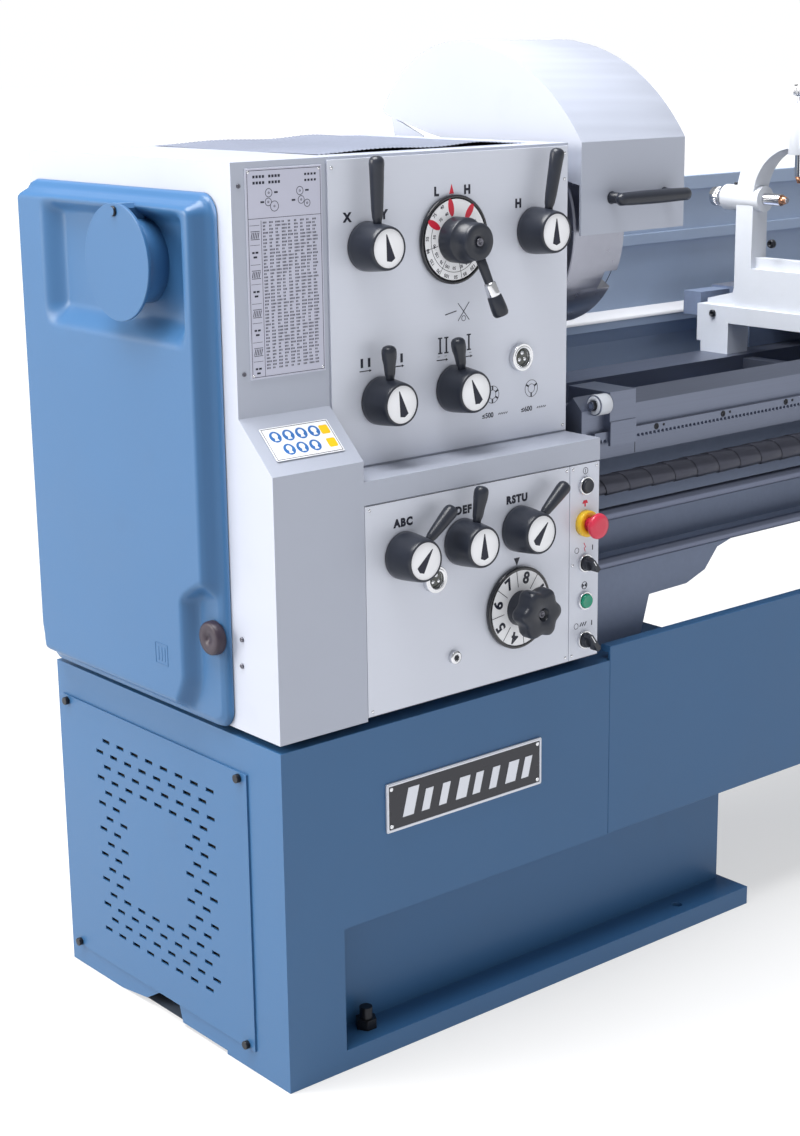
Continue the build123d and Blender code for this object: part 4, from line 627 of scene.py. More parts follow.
def speed_dial():
    """Printed speed disc with coloured marks, stepped hub and crank."""
    x, z = node_centre("speed_dial").x, node_box("speed_dial")[1].z - 64.0
    place = front(x, HEAD_PLATE_Y, z)
    piece = Piece("speed_disc")
    piece.turned([(0, KNOB_GAP), (62.5, KNOB_GAP), (64, 2), (64, 6.4), (62.8, 7.6), (60.2, 7.6), (60, 7),
                  (58, 7)],
                 "black_gloss", place, 96)
    piece.turned([(60.1, 7.0), (0, 7.0)], "label_white", place, 96)
    disc_ink = (6.9, 7.2, "ink")
    piece.ring(46.15, 46.85, *disc_ink, place, 150, 395, 90)
    for k in range(8):
        a = math.radians(12 + 45 * k)
        piece.line(polar(34, a), polar(60, a), 0.7, *disc_ink, place)
    red_marks = (100, 150, 55)
    petal = [polar(1, math.pi * t / 16) for t in range(-8, 9)]
    petal = [(5.2 * u, 47 + 12.8 * v) for u, v in petal]
    petal += [(-u, v) for u, v in reversed(petal[1:-1])]
    for angle in red_marks:
        piece.slab(petal, 6.9, 7.3, "red_ink", place @ turn(angle - 90))
    for radius, size, start in ((53.5, 5.2, 118), (40.5, 4.6, 114)):
        for k in range(11):
            angle = start + 19 * k
            if min(abs(angle - a) for a in red_marks) >= 8:
                piece.text(str(40 + (k * 35) % 90), size, place @ turn(angle - 90) @ shift(0, radius), 0.12,
                           6.9)
    hub = [(33, 6.5), (33, 31), (31.6, 33.4), (27.4, 34.4), (27.2, 56), (26, 59), (23.4, 60.2), (10, 60.2),
           (9, 58.6), (0, 58.6)]
    piece.turned(hub, "black_plastic", place, 64)
    screw_head(piece, place @ shift(0, 0, 58.4), 6.4, 2.4, "dark_steel")
    arm = place @ shift(0, 0, 46) @ turn(-160) @ turn(8, "X") @ turn(-90, "X")
    piece.turned([(0, 18), (7.4, 18), (7.2, 40), (6.6, 62), (6.6, 66)], "black_plastic", arm, 28)
    piece.turned([(6.6, 64), (8.2, 65), (9.0, 68), (9.6, 80), (9.8, 84), (9.2, 85)], "bright", arm, 32)
    piece.turned([(9.4, 84), (10.8, 86), (12.0, 104), (11.8, 112), (10.4, 115.4), (7, 116), (6.4, 112),
                  (0, 112)],
                 "black_plastic", arm, 32)
    piece.tube([(x, HEAD_PLATE_Y, z), (x, HEAD_PLATE_Y + 24, z)], [8, 8], "steel")
    piece.done("speed_dial_body", ["speed_dial"])


def feed_dial():
    """Numbered feed disc and its lobed hand knob."""
    x, _, z = node_centre("feed_dial")
    place = front(x, FEED_PLATE_Y, z)
    piece = Piece("feed_disc")
    piece.turned([(0, KNOB_GAP), (61.5, KNOB_GAP), (63, 2), (63, 7.4), (62, 8.6), (58, 8.6), (57.8, 8)],
                 "black_gloss", place, 96)
    piece.turned([(58, 8), (0, 8)], "label_white", place, 96)
    for number in range(8, 0, -1):
        angle = (435 - 45 * number) % 360
        piece.text(str(number), 18, place @ turn(angle - 90) @ shift(0, 45.5), 0.8, 7.9, 0.4)
        a = math.radians(angle + 22.5)
        piece.line(polar(33, a), polar(57.5, a), 0.9, 7.9, 8.3, "ink", place)
    piece.turned([(27, 7.5), (26.5, 14), (25.5, 20), (26.5, 30)], "black_plastic", place, 48)
    levels = [(0.55, 27.5), (0.82, 28), (0.95, 31), (1.0, 36), (1.0, 50), (0.96, 56), (0.88, 59.3),
              (0.72, 60.2), (0.30, 60.2), (0.27, 59), (0.26, 53), (0.0, 53)]
    points, around = [], 96
    for scale, w in levels:
        for k in range(around):
            a = 2 * math.pi * k / around
            lobe = 36.5 + (3.6 * math.cos(6 * a) if scale > 0.7 else 0)
            points.append((*polar(max(0.05, lobe * scale), a), w))
    piece.skin(points, lattice(len(levels), around, wrap=True), "black_plastic", place, smooth=True)
    screw_head(piece, place @ shift(0, 0, 52.8), 6.5, 3.0, "dark_steel")
    piece.tube([(x, -7, z), (x, 27, z)], [8, 8], "steel")
    piece.done("feed_dial_body", ["feed_dial"])


# ---- switches

def on_strip(node):
    """Local frame at a control of the switch strip."""
    x, _, z = node_centre(node)
    return front(x, FEED_PLATE_Y, z)


def flush_button(node, material):
    piece = Piece(node + "_cap")
    piece.turned([(0, -20), (10.8, -20), (11, 4), (11, 7.6), (10.2, 8.8), (9, 9), (7.4, 8.5), (0, 8.2)],
                 material, on_strip(node), 48)
    piece.done(node + "_body", [node])


def stop_button():
    """Red mushroom, with three raised arcs on its crown."""
    place = on_strip("stop_button")
    piece = Piece("stop_mushroom")
    piece.turned([(0, -20), (11, -20), (11, 17.2), (13.5, 19.4), (15.5, 21.6), (18.6, 24.8), (20, 27.4),
                  (20, 29.4), (18.6, 32.6), (14.5, 34.6), (8, 35), (0, 34.6)], "red_plastic", place, 56)
    for k in range(3):
        piece.ring(9.5, 11, 34.2, 34.9, "red_plastic", place @ turn(120 * k), 10, 80, 48)
    piece.done("stop_button_body", ["stop_button"])


def rotary(node, length):
    """Selector switch with a bar handle and a white line on it."""
    place = on_strip(node)
    piece = Piece(node + "_handle")
    piece.turned([(0, -20), (10.9, -20), (11, 8), (10.6, 12.4), (9.4, 14), (0, 14)], "black_plastic", place,
                 48)
    bar = place @ turn(35)
    half = length / 2
    outline = [(-4.5, -half + 2), (-3, -half), (3, -half), (4.5, -half + 2), (3.4, half - 3), (1.8, half),
               (-1.8, half), (-3.4, half - 3)]
    piece.slab(outline, 10, 25.6, "black_plastic", bar)
    piece.slab(rectangle(-0.7, 0, 1.4, half - 3), 25.5, 26.0, "label_white", bar)
    piece.done(node + "_body", [node], bevel=0.6)


def stop_collar():
    """Yellow collar of the stop button, over the steel ring of the frame."""
    piece = Piece("stop_collar")
    piece.turned([(11.4, -0.5), (20.6, -0.5), (20.6, 8.6), (19.4, 10.4), (17.6, 10.8), (11.4, 10.8),
                  (11.4, -0.5)],
                 "yellow_plastic", on_strip("stop_button"), 56)
    piece.done("machine")


# ---- printing on the plates

def arrow_pair(piece, place, width, height):
    """Small generic pictogram: two blocks over an arrow."""
    for k in (-1, 1):
        piece.slab(rectangle(k * width * 0.3 - 2.2, 0, 4.4, height), *INKED, place)
    piece.line((-width / 2, -5), (width / 2 - 3, -5), 1.4, *INKED, place)
    piece.slab([(width / 2 - 4, -7), (width / 2, -5), (width / 2 - 4, -3)], *INKED, place)


def rivets(piece, face, corners, radius=2.6):
    for u, v in corners:
        screw_head(piece, face @ shift(u, v), radius, 1.3, "bright", socket=False)


def four_corners(u, v):
    return [(-u, -v), (-u, v), (u, -v), (u, v)]


def frame_bars(u, v, wide, tall, thick):
    """Outlines of the four bars of a rectangular frame: top, bottom, left, right."""
    return [about(0, v, wide, thick), about(0, -v, wide, thick), about(-u, 0, thick, tall),
            about(u, 0, thick, tall)]


def head_printing():
    """Letters and pictograms of the headstock plate."""
    piece = Piece("head_printing")
    face = front(0, HEAD_PLATE_Y, 0)
    for word, x, z in (("X", 194, 1237), ("Y", 260, 1237), ("L", 357, 1263), ("H", 416, 1263),
                       ("H", 517, 1237), ("L", 580, 1237)):
        piece.text(word, 12.5, face @ shift(x, z), 0.95)
    piece.slab([(-4.5, -6), (4.5, -6), (0, 8)], *RED_INKED, face @ shift(386, 1265))
    for x in (222, 282):
        arrow_pair(piece, face @ shift(x, 1026), 22, 13)
    for x in (362, 374, 418):
        piece.slab([(-4, 0), (4, 0), (4, 2), (1.5, 2), (1.5, 22), (4, 22), (4, 24), (-4, 24), (-4, 22),
                    (-1.5, 22), (-1.5, 2), (-4, 2)], *INKED, face @ shift(x, 1030))
    for x in (366, 414):
        arrow_pair(piece, face @ shift(x, 1026), 22, 0.5)
    cross = face @ shift(408, 1088)
    for v in (13, -13):
        piece.line((-11, -v), (11, v), 1.0, *INKED, cross)
    piece.ring(3.4, 4.2, *INKED, cross @ shift(0, -10))
    piece.line((-36, -2), (-14, 2), 1.4, *INKED, cross)
    for x, count in ((465, 6), (545, 3)):
        ring = face @ shift(x, 958)
        piece.ring(12.6, 13.3, *INKED, ring)
        piece.ring(6.4, 7.1, *INKED, ring)
        for k in range(count):
            a = 2 * math.pi * k / count + 0.5
            piece.line(polar(7, a), polar(12.8, a), 2.6, *INKED, ring)
    for words, x in (("≤500", 455), ("≤600", 535)):
        piece.text(words, 8, face @ shift(x, 927), 0.15)
    for x in (477, 557):
        for u in range(x, x + 20, 4):
            piece.line((u, 926), (u + 2.4, 928.5), 1.2, *INKED, face)
    rivets(piece, face, [(168, 1306), (612, 1306), (168, 893), (612, 893), (612, 1268)])
    piece.done("machine")


def feed_printing():
    """Letters of the feed selectors and symbols of the switch strip."""
    piece = Piece("feed_printing")
    face = front(0, FEED_PLATE_Y, 0)
    for words, x in (("ABC", 226), ("DEF", 340), ("RSTU", 446)):
        piece.text(words, 11.5, face @ shift(x, 813), 0.95, spacing=1.2)
    piece.slab([(-6, 5), (0, -7), (6, 5)], *INKED, face @ shift(446, 718))
    strip_x = node_centre("jog_button").x

    def above(node, gap):
        return face @ shift(strip_x, node_centre(node).z + gap)

    mark = above("jog_button", 23)
    piece.ring(4.6, 5.3, *INKED, mark)
    piece.line((0, -3), (0, 3), 1.0, *INKED, mark)
    stop = above("stop_button", 31)
    piece.slab([(-6, 0), (6, 0), (3.5, 5), (-3.5, 5)], *RED_INKED, stop)
    piece.slab(rectangle(-1.4, -5, 2.8, 5), *RED_INKED, stop)
    mode = above("mode_switch", 26)
    piece.ring(4.0, 4.7, *INKED, mode @ shift(-17, -4))
    piece.line((17, -8), (17, 0), 1.8, *INKED, mode)
    flash = [(-2, 6), (2, -1), (-1, -2), (1, -8)]
    for start, end in zip(flash, flash[1:]):
        piece.line(start, end, 1.2, *RED_INKED, mode)
    go = above("start_button", 24)
    piece.ring(5.2, 6.2, *INKED, go)
    piece.slab([(-4.5, -3.6), (-4.5, 3.6), (0, 0), (4.5, 3.6), (4.5, -3.6), (0, 0.1)], *INKED, go)
    pump = above("pump_switch", 26)
    piece.ring(4.0, 4.7, *INKED, pump @ shift(-17, -2))
    piece.line((17, -6), (17, 2), 1.8, *INKED, pump)
    for u in (-9, -4, 1):
        piece.line((u, -4), (u + 4, 2), 1.6, *INKED, pump)
    rivets(piece, face, [(165, 840), (549, 840), (165, 545), (549, 545), (563, 840), (613, 840), (563, 545),
                         (613, 545), (563, 690)], 2.4)
    for z in (537.4, 846.4):
        piece.line((158, z), (619, z), 0.8, 0.02, 0.2, "ink", face)
    piece.done("machine")


def chart_printing():
    """Gear chart on the casing: a framed sheet of gear-train diagrams, hatched symbols and figures."""
    left_u, right_u, bottom, row_pitch, column_pitch = 22, 150, 1031, 4.55, 10.4
    width, height = right_u - left_u, CHART_TOP - bottom
    half_u, half_v = width / 2, height / 2
    middle = front(0, 72.5, 0) @ shift(left_u + half_u, bottom + half_v)
    piece = Piece("chart_printing")
    piece.rounded(width - 1, height - 1, 0.05, 0.5, 1.5, "chart", middle, 0.2)
    for outline in frame_bars(half_u - 3, half_v - 3, width - 6, height - 6, 0.7) + [
            about(0, half_v - 66, width - 6, 0.6), about(-half_u + 24, -33, 0.6, height - 72)]:
        piece.slab(outline, *SHEET_INKED, middle)

    def dash(u, v, w, h):
        piece.slab(rectangle(u, v, w, h), *SHEET_INKED, middle)

    for v in (half_v - 13, half_v - 21):
        for k in (0, 1, 2, 3, 5, 6, 7, 8):
            dash(-half_u + 12 + 5.2 * k, v, 3.6, 3.6)
        for k in range(4):
            dash(half_u - 30 + 5.4 * k, v, 3.4, 3.0)
    # two gear trains: offset and radius of each gear
    for train_u, gears in ((-26, ((0, 0, 5.6), (-1, -12, 5.2), (9, -18, 6.8))),
                           (26, ((0, 0, 5.6), (2, -12, 5.2), (12, -17, 5.0)))):
        for du, dv, r in gears:
            centre = middle @ shift(train_u + du, half_v - 33 + dv)
            piece.ring(r - 0.5, r + 0.3, *SHEET_INKED, centre)
            piece.ring(0.8, 1.5, *SHEET_INKED, centre, segments=16)
        dash(train_u + 9, half_v - 34, 6, 2.4)
        dash(train_u - 14, half_v - 46, 6, 2.4)
    for row in range(44):
        v = half_v - 73 - row * row_pitch
        for column in range(9):
            u = -half_u + 27 + column * column_pitch
            for digit in range(random.choice((2, 3, 3, 4))):
                dash(u + digit * 2.2, v, 1.3, 2.4)
    for k in range(8):
        v = half_v - 84 - k * 26
        dash(-half_u + 5, v + 9, 16, 0.5)
        if k % 2 == 0:
            for stripe in range(5):
                u = -half_u + 7 + stripe * 2.8
                piece.line((u, v - 8), (u + 2.0, v), 1.1, *SHEET_INKED, middle)
            dash(-half_u + 6.5, v + 1, 14.6, 0.8)
            dash(-half_u + 6.5, v - 9.6, 14.6, 0.8)
        else:
            dash(-half_u + 8, v - 2, 4, 2.6)
            dash(-half_u + 13.5, v - 2, 4.6, 2.6)
            dash(-half_u + 10, v - 8, 6, 2.6)
    rivets(piece, middle, four_corners(half_u - 5, half_v - 5), 2.2)
    piece.done("machine")


def slope_printing():
    """Generic reminder label on the sloping part of the casing: blue discs and two yellow squares."""
    rise, run = 69.0, 74.0
    slope = math.degrees(math.atan2(rise, run))
    face = shift(78, 37, 945.5) @ turn(slope, "X") @ shift(0, 0, 1.5)
    piece = Piece("slope_label")
    piece.rounded(116, 56, 0.05, 0.5, 2, "label_white", face, 0.2)
    for outline in frame_bars(55.5, 26, 112, 52, 0.9):
        piece.slab(outline, *SHEET_INKED, face)
    for row, first_u, count in ((11.5, -39, 4), (-11.5, -28, 3)):
        for k in range(count):
            spot = face @ shift(first_u + 22 * k, row)
            piece.turned([(9.4, 0.45), (9.4, 0.66), (0, 0.66)], "blue_ink", spot, 32, smooth=False)
            piece.turned([(4.6, 0.64), (4.6, 0.78), (0, 0.78)], "label_white", spot @ shift(0, 2), 20,
                         smooth=False)
            piece.slab([(-3.6, -6.5), (3.6, -6.5), (2.0, -1.5), (-2.0, -1.5)], 0.64, 0.78, "label_white",
                       spot)
        piece.rounded(15, 15, 0.45, 0.7, 2.5, "yellow_ink", face @ shift(45, row), 0.1)
    piece.done("machine")


def nameplate():
    """Black plate in a silver frame, with slanted bars in place of a name."""
    face = front(340.5, -3, 391)
    piece = Piece("name_face")
    width, height, base, lean = 309.0, 74.0, -19, 0.27
    piece.rounded(width + 2, height + 2, -2.9, 0.4, 3, "silver_print", face, 0.4)
    piece.rounded(width - 7, height - 7, 0.3, 0.6, 2, "name_black", face, 0.1)
    bars = frame_bars(width / 2 - 1.5, height / 2 - 2, width - 4, height - 4, 2.4)
    for outline in bars[2:] + bars[1::-1]:
        piece.slab(outline, 0.3, 1.1, "silver_print", face)
    for k in range(8):
        u, tall = (-123 + 33.5 * k, 33) if k else (-126, 43)
        wide = 15 if k % 3 else 21
        slant = lean * tall
        piece.slab([(u, base), (u + wide, base), (u + wide + slant, base + tall), (u + slant, base + tall)],
                   0.5, 1.3, "silver_print", face)
    rivets(piece, face @ shift(0, 0, 0.4), four_corners(width / 2 - 8, height / 2 - 8), 3.4)
    piece.done("machine", bevel=0.15)


# ---- trim on the fixed machine

def top_mat():
    """Ribbed rubber mat on the headstock, with raised waves where it doesn't lie flat."""
    low, high = node_box("headstock_housing")
    x0, x1, y0, y1 = low.x + 23, high.x - 40, low.y + 46, high.y - 31
    piece = Piece("ribbed_mat")
    rows, columns = 60, 200
    points = []
    for j in range(rows + 1):
        for i in range(columns + 1):
            x = x0 + (x1 - x0) * i / columns
            y = y0 + (y1 - y0) * j / rows
            rib = 0.9 if i % 4 in (0, 1) else 0
            wave = 5.0 * math.exp(-((x - 300) / 90) ** 2) + 6.0 * math.exp(-((x - 480) / 60) ** 2)
            wave *= 0.5 + 0.5 * math.sin(y / 70)
            points.append((x, y, high.z - 1 + rib + wave))
    piece.skin(points, lattice(rows + 1, columns + 1), "rubber_mat")
    piece.done("machine")


def sight_glasses():
    """Glass and three bright studs inside each chrome ring, and the drain plug's socket."""
    piece = Piece("sight_glasses")
    for x, z, y, r in ((520, 1009, HEAD_PLATE_Y, 14), (281, 721, FEED_PLATE_Y, 13)):
        place = front(x, y, z)
        piece.turned([(r - 0.2, 4.2), (r * 0.7, 5.6), (0, 6.2)], "sight_glass", place, 36)
        piece.turned([(r + 0.6, 8.9), (r + 1.4, 9.6), (r + 3, 9.7), (r + 3.6, 9.1)], "bright", place, 36)
        for k in range(3):
            stud = place @ shift(*polar(6.4, math.radians(90 + 120 * k)))
            piece.turned([(3.2, 5.4), (3.0, 7), (0, 7.2)], "bright", stud, 16)
    plug = front(319, FEED_PLATE_Y, 595)
    piece.turned([(10.1, 5), (9.2, 7.6), (5.4, 7.8), (5.0, 7.3), (4.8, 3), (0, 3)], "bright", plug, 24)
    piece.turned([(4.9, 7.25), (0, 7.25)], "screw_black", plug, 6)
    piece.done("machine")


def casing_screws():
    """Small screws on the casing's left and front faces, and its turned-in edge behind the headstock."""
    piece = Piece("casing_screws")
    for y, z in ((84, 629), (82, 668)):
        screw_head(piece, left(0, y, z), 3.6, 2.6, "dark_steel")
    for z in (1290, 1040):
        screw_head(piece, front(12, HEAD_PLATE_Y, z), 3.0, 2.0, "dark_steel")
    back = node_box("gear_casing")[1].y - 8.5
    for y, low, high in ((node_box("headstock_housing")[1].y + 0.5, 884, 1312), (472, 534, 884)):
        piece.slab(rectangle(y, low, back - y, high - low), 0, 2.5, "white_paint", right(153, 0, 0))
    piece.done("machine")


def vent_filter():
    """Pleated dust filter in the cabinet's window, right behind the slots of the vent panel; its near-black
    colour is painted shade for the dark inside of the cabinet.
    """
    piece = Piece("vent_filter")
    pleats = [(1.2 + 2.0 * (k % 2), 112 + 4 * k) for k in range(110)]
    # near-black sheet behind the slots: painted shade inside the cabinet
    piece.slab(pleats + [(6, 548), (6, 112)], 62, 438, "belt_rubber", top(0, 0, 0))
    piece.done("machine")


def bed_trim():
    """Rack screws, joint lines and dowels along the front rail, and the white roller of the bed stop."""
    piece = Piece("rack_screws")
    for x in range(800, 2561, 160):
        place = front(x, 51, 869)
        piece.turned([(5.2, -0.2), (5.2, 0.5), (4.6, 0.9), (2.6, 0.9), (2.4, 0.2), (0, 0.2)], "screw_black",
                     place, 20)
        piece.turned([(2.2, -0.2), (2.2, 0.6), (0, 0.7)], "screw_black", place @ shift(17, 1), 12)
    for x in (760, 1340, 1980):
        piece.slab(rectangle(x - 0.5, 831, 1, 25), 0.0, 0.25, "screw_black", front(0, 60, 0))
    piece.done("machine")
    roller = Piece("stop_roller")
    place = left(690, 56, 919)
    roller.turned([(0, 0), (14.5, 0), (16.4, 2), (16.6, 24), (15.4, 27.6), (12, 29), (8.6, 29), (8.2, 27),
                   (0, 27)],
                  "casting_white", place, 48)
    roller.turned([(0, 26), (7.6, 26), (7.6, 33.6), (6.8, 35), (4, 35), (3.8, 31), (0, 31)], "screw_black",
                  place, 24)
    roller.done("machine")


def shield_shelf():
    """White strip on the upward-facing sloping shelf of the splash guard: a painted highlight where light
    falls on the shelf.
    """
    low, high = node_box("splash_guard")
    piece = Piece("shelf_highlight_strip")
    profile = [(596.0, 963.0), (587.8, 959.6), (579.8, 955.8), (571.8, 951.9), (569.2, 949.8), (569.2, 945.4)]
    points = [(x, y, z) for x in (low.x + 2, high.x - 2) for y, z in profile]
    # near-white skin over the shelf: painted highlight
    piece.skin(points, lattice(2, len(profile)), "label_white", smooth=True)
    piece.done("machine")


def spiral_cover():
    """Spiral spring-steel cover of the lead screw: overlapping turns that widen towards the apron."""
    low, high = node_box("screw_cover")
    axis_z = (low.z + high.z) / 2
    piece = Piece("spiral_band")
    turns, around = 15, 40
    radius0, radius1 = 16.6, (high.z - low.z) / 2
    length = high.x - low.x
    pitch = length / turns
    points = []
    steps = turns * around
    for k in range(steps + 1):
        t = k / steps
        base = low.x + t * (length - pitch)
        radius = radius0 + (radius1 - radius0) * t
        for across, lift in ((0.0, -0.5), (0.02, 0.1), (0.96, 0.1), (1.06, -0.7)):
            y, z = polar(radius + lift - 0.9 * across, 2 * math.pi * k / around)
            points.append((min(base + pitch * across, high.x), ROD_Y + y, axis_z + z))
    piece.skin(points, lattice(steps + 1, 4), "spring_steel", smooth=True)
    inner = radius0 - 1.6
    place = right(low.x, ROD_Y, axis_z)
    piece.turned([(inner, 0), (radius0 + 1.2, 0), (radius0 + 1.4, 1), (radius0 + 1.4, 9),
                  (radius0 + 0.6, 10)],
                 "steel", place, 48)
    piece.turned([(inner, 0.2), (inner, length - 0.2)], "spring_steel", place, 40)
    piece.done("machine", ["screw_cover"])


def lead_screw():
    """Lead screw with its trapezoid thread cut in the length that the nut uses."""
    low, high = node_box("lead_screw")
    radius = (high.z - low.z) / 2
    axis_z = (low.z + high.z) / 2
    piece = Piece("lead_thread")
    start, end = low.x + 60, high.x - 60
    pitch, around = 8.0, 20

    def rod(stations, radii, sides):
        piece.tube([(x, ROD_Y, axis_z) for x in stations], radii, "bright", sides)

    rod((low.x, low.x + 1, start), [radius - 1, radius, radius], 32)
    rod((end, high.x - 1, high.x), [radius, radius, radius - 1], 32)
    steps = int((end - start) / pitch) * around
    points = []
    for k in range(steps + 1):
        x = start + pitch * k / around
        for across, lift in ((0.0, -2.2), (0.12, 0.0), (0.45, 0.0), (0.57, -2.2)):
            y, z = polar(radius + lift, 2 * math.pi * k / around)
            points.append((min(end, x + pitch * across), ROD_Y + y, axis_z + z))
    piece.skin(points, lattice(steps + 1, 4), "bright")
    rod((start - 1, end + 1), [radius - 2.1] * 2, 24)
    piece.done("lead_screw_body", ["lead_screw"])


def guard_handle():
    """Black bridge handle on the hood, round the steel bar of the frame."""
    y, z = node_box("chuck_guard")[0].y + 9, 1234
    piece = Piece("hood_handle")
    left_end, right_end, rounding = 693.5, 856.5, 0.035
    path, radii = [], []
    for k in range(25):
        t = k / 24
        path.append((left_end + (right_end - left_end) * t, y, z))
        edge = min(t, 1 - t)
        radii.append(9.6 * math.sqrt(edge / rounding) if edge < rounding
                     else 9.6 + 1.3 * math.sin(math.pi * t))
    radii[0] = radii[-1] = 4.0
    piece.tube(path, radii, "black_plastic", 24)
    for x in (716, 834):
        piece.tube([(x, y + 2, z), (x, y + 31, z), (x, y + 33.4, z)], [8, 8.6, 10], "black_plastic", 20)
    piece.done("chuck_guard_body")


def chuck_trim():
    """Square key sockets in their bosses and the ring of screws on the chuck's face."""
    low, high = node_box("chuck_body")
    piece = Piece("chuck_sockets")
    x = (low.x + high.x) / 2 - 8
    axis = shift(0, *SPINDLE)
    radius = (high.z - low.z) / 2
    for k in range(3):
        up = axis @ turn(60 + 120 * k, "X") @ shift(x, 0, radius - 1.2)
        piece.turned([(9.2, 0.2), (14.6, 0.6), (15.4, 1.0), (15.8, 0.4)], "steel", up, 32)
        piece.turned([(8.9, 1.0), (8.9, -14), (0, -14)], "screw_black", up, 4)
        for side in (-22, 22):
            place = axis @ turn(120 * k + side, "X") @ shift(high.x, 0, 118) @ turn(90, "Y")
            screw_head(piece, place, 6.5, 1.4, "screw_black")
    for r in (60, 150):
        piece.ring(r - 0.5, r + 0.5, -0.2, 0.25, "dark_steel", right(high.x, *SPINDLE), segments=96)
    piece.done("spindle_assembly")


def steady_trim():
    """Brass tips, knurled ends and lock screws of the steady rest's fingers."""
    sideways = Vector((1, 0, 0))
    for node, direction in (("steady_finger_top", (0, 0, 1)), ("steady_finger_rear", (0, 1, 0)),
                            ("steady_finger_front", (0, -1, 0))):
        low, high = node_box(node)
        along = Vector(direction)
        start, end = ((low + high) / 2 + along * (sign * max(high - low) / 2) for sign in (-1, 1))
        piece = Piece(node + "_trim")
        piece.tube([start + along * w for w in (0.2, 1.0, 14.5)], [4.2, 5.6, 10.6], "brass", 28)
        for k in range(24):
            u, v = polar(17, 2 * math.pi * k / 24)
            across = sideways * u + along.cross(sideways) * v
            piece.tube([end - along * 18 + across, end - along * 3 + across], [1.1, 1.1], "bright", 6)
        piece.tube([end - along * w for w in (20.4, 19.2, 1.6, 0.0)], [14.5, 17, 17, 15.4], "bright", 48)
        piece.done(node + "_body")
    low, high = node_box("steady_frame")
    piece = Piece("steady_screws")
    screw_head(piece, left(low.x + 6, SPINDLE[0] + 40, 1100), 8, 8, "screw_black")
    for y in (100, 440):
        screw_head(piece, left(low.x, y, 960), 7, 5, "screw_black")
    for side in (-150, 150):
        screw_head(piece, top((low.x + high.x) / 2, SPINDLE[0] + side, 1201), 5, 5, "screw_black")
    piece.done("machine")


def wheel_grip(name, body, start, end, radius):
    """Black grip round a handle of the frame's handwheels."""
    n = 14
    path = [Vector(start).lerp(Vector(end), k / n) for k in range(n + 1)]
    radii = [radius * (0.84 + 0.2 * math.sin(math.pi * min(1, 0.15 + k / n))) for k in range(n + 1)]
    radii[-1] = radius * 0.5
    piece = Piece(name)
    piece.tube(path, radii, "black_plastic", 24)
    piece.done(body)


def wheel_grips():
    """Grips of the carriage, cross slide and tailstock wheels."""
    for wheel, reach, degrees in (("carriage", 95, 215), ("cross", 70, 40)):
        low_y, centre = node_box(wheel + "_wheel")[0].y, node_centre(wheel + "_wheel")
        dz, dx = polar(reach, math.radians(degrees))
        x, z = centre.x + dx, centre.z + dz
        wheel_grip(wheel + "_grip", wheel + "_wheel_body", (x, low_y + 60, z), (x, low_y + 0.2, z), 13.4)
    high = node_box("tailstock_wheel")[1]
    dz, dy = polar(95, math.radians(30))
    y, z = SPINDLE[0] - dy, SPINDLE[1] + dz
    wheel_grip("tailstock_grip", "tailstock_wheel_body", (high.x - 58, y, z), (high.x - 0.2, y, z), 12.4)


door()
door_lock()
cap_screw()
# centre, lean and reach of each selector's handle
for node, centre, lean, reach in (("direction_lever", (227, 1196), 0, 125),
                                  ("range_lever", (548, 1196), 12, 123), ("step_lever", (247, 976), -2, 82),
                                  ("ratio_lever", (387, 977), -10, 80)):
    selector(node, HEAD_PLATE_Y, centre, lean, reach)
for node, centre, lean, reach in (("feed_lever_abc", (225, 766), 50, 97),
                                  ("feed_lever_def", (336, 767), 12, 86),
                                  ("feed_lever_rstu", (449, 768), 51, 97)):
    selector(node, FEED_PLATE_Y, centre, lean, reach)
speed_dial()
feed_dial()
flush_button("jog_button", "black_plastic")
flush_button("start_button", "green_plastic")
stop_button()
stop_collar()
rotary("mode_switch", 24)
rotary("pump_switch", 34)
for build in (head_printing, feed_printing, chart_printing, slope_printing, nameplate, top_mat, sight_glasses,
              casing_screws, vent_filter, bed_trim, shield_shelf, spiral_cover, lead_screw, guard_handle,
              chuck_trim, steady_trim, wheel_grips):
    build()


# ---- stage, light and camera

def add_object(name, data):
    thing = bpy.data.objects.new(name, data)
    bpy.context.scene.collection.objects.link(thing)
    return thing


def stage():
    """Pale floor that glows as a backdrop, dimmer near the machine as painted shade and dark under the open
    cabinets as a painted shadow.
    """
    mesh = bpy.data.meshes.new("floor")
    reach, wall, end, post = 60, 0.012, 0.1, 0.075
    low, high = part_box("left_cabinet")
    far_low, far_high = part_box("right_cabinet")
    xs = [-reach, low.x + wall, low.x + end, high.x - 2 * wall, far_low.x + 2 * wall, far_high.x - end,
          far_high.x - wall, reach]
    ys = [-reach, low.y + wall, low.y + post, high.y - post, high.y - wall, reach]
    mesh.from_pydata([(x, y, 0) for y in ys for x in xs], [], lattice(len(ys), len(xs)))
    material, nodes, shader = new_material("floor")
    # the floor's glow rises from 0.55 near the machine to 1.0 far off: painted shade round the machine
    distance = nodes.add("VectorMath", {0: nodes.place()}, operation="LENGTH").outputs["Value"]
    nodes.fill(shader, {"Base Color": (0.35, 0.35, 0.352, 1), "Roughness": 0.9,
                        "Emission Color": (1, 1, 1, 1),
                        "Emission Strength": nodes.spread(distance, 0.55, 1.0, 1.5, 7.0)})
    mesh.materials.append(material)
    # the floor faces under the cabinets get the dark motor paint: a painted shadow under the machine
    mesh.materials.append(MATERIALS["motor_paint_and_floor_shadow"])
    for shadow_face in (8, 15, 22, 16, 23, 18, 12, 19, 26):
        mesh.polygons[shadow_face].material_index = 1
    floor = add_object("floor", mesh)
    floor.location.z = DATUM.z - 0.0005


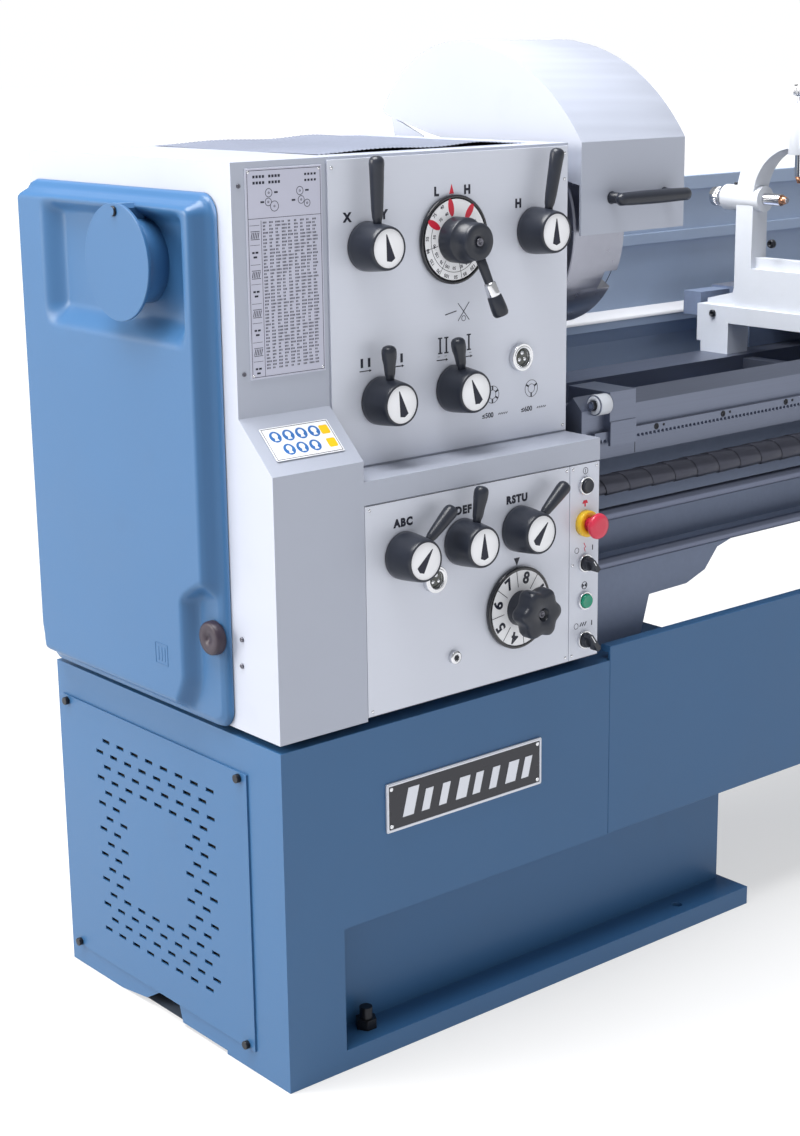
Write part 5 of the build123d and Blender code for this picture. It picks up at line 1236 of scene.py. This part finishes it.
def area_light(name, place, aim, size, power, colour=(1, 1, 1)):
    light = bpy.data.lights.new(name, "AREA")
    light.shape = "DISK"
    light.size = size
    light.energy = power
    light.color = colour
    lamp = add_object(name, light)
    lamp.location = place
    lamp.rotation_euler = (aim - place).to_track_quat("-Z", "Y").to_euler()


def lights():
    """Key light behind on the left, a top light, and a world white at the horizon and grey above."""
    middle = (CAD_BOX[0] + CAD_BOX[1]) / 2
    area_light("key", middle + Vector((-5.6, 2.8, 1.8)), middle + Vector((-1.2, 0, 0)), 3.5, 310,
               (1.0, 0.955, 0.885))
    area_light("top", middle + Vector((-2.2, 0.4, 5.0)), middle + Vector((0.3, 0, 0)), 4.0, 560)
    world = bpy.data.worlds.new("studio")
    bpy.context.scene.world = world
    world.use_nodes = True
    nodes = Nodes(world.node_tree)
    height = nodes.add("SeparateXYZ", {"Vector": nodes.add("TexCoord").outputs["Generated"]}).outputs["Z"]
    nodes.fill(world.node_tree.nodes["Background"],
               {"Strength": nodes.spread(height, 1.02, 0.46, 0.025, 0.06),
                                                     "Color": (0.98, 0.99, 1.0, 1)})


def camera():
    """Camera at the photograph's place: 64 mm lens, slightly above the headstock and to its left."""
    data = bpy.data.cameras.new("camera")
    data.sensor_width, data.lens = 36, 63.63
    data.shift_x, data.shift_y = 0.0035, -0.0044
    data.clip_start, data.clip_end = 0.05, 200
    eye = DATUM + Vector((-1.545, -2.119, 1.474))
    azimuth, tilt, roll = math.radians(39.66), math.radians(14.61), math.radians(0.79)
    ahead = Vector((math.sin(azimuth) * math.cos(tilt), math.cos(azimuth) * math.cos(tilt), -math.sin(tilt)))
    across = Vector((math.cos(azimuth), -math.sin(azimuth), 0))
    up = across.cross(ahead)
    across, up = (across * math.cos(roll) - up * math.sin(roll),
                  up * math.cos(roll) + across * math.sin(roll))
    cam = add_object("camera", data)
    cam.matrix_world = Matrix(((*across, 0), (*up, 0), (*-ahead, 0), (*eye, 1))).transposed()
    bpy.context.scene.camera = cam


stage()
lights()
camera()
bpy.context.scene.view_settings.view_transform = "Standard"
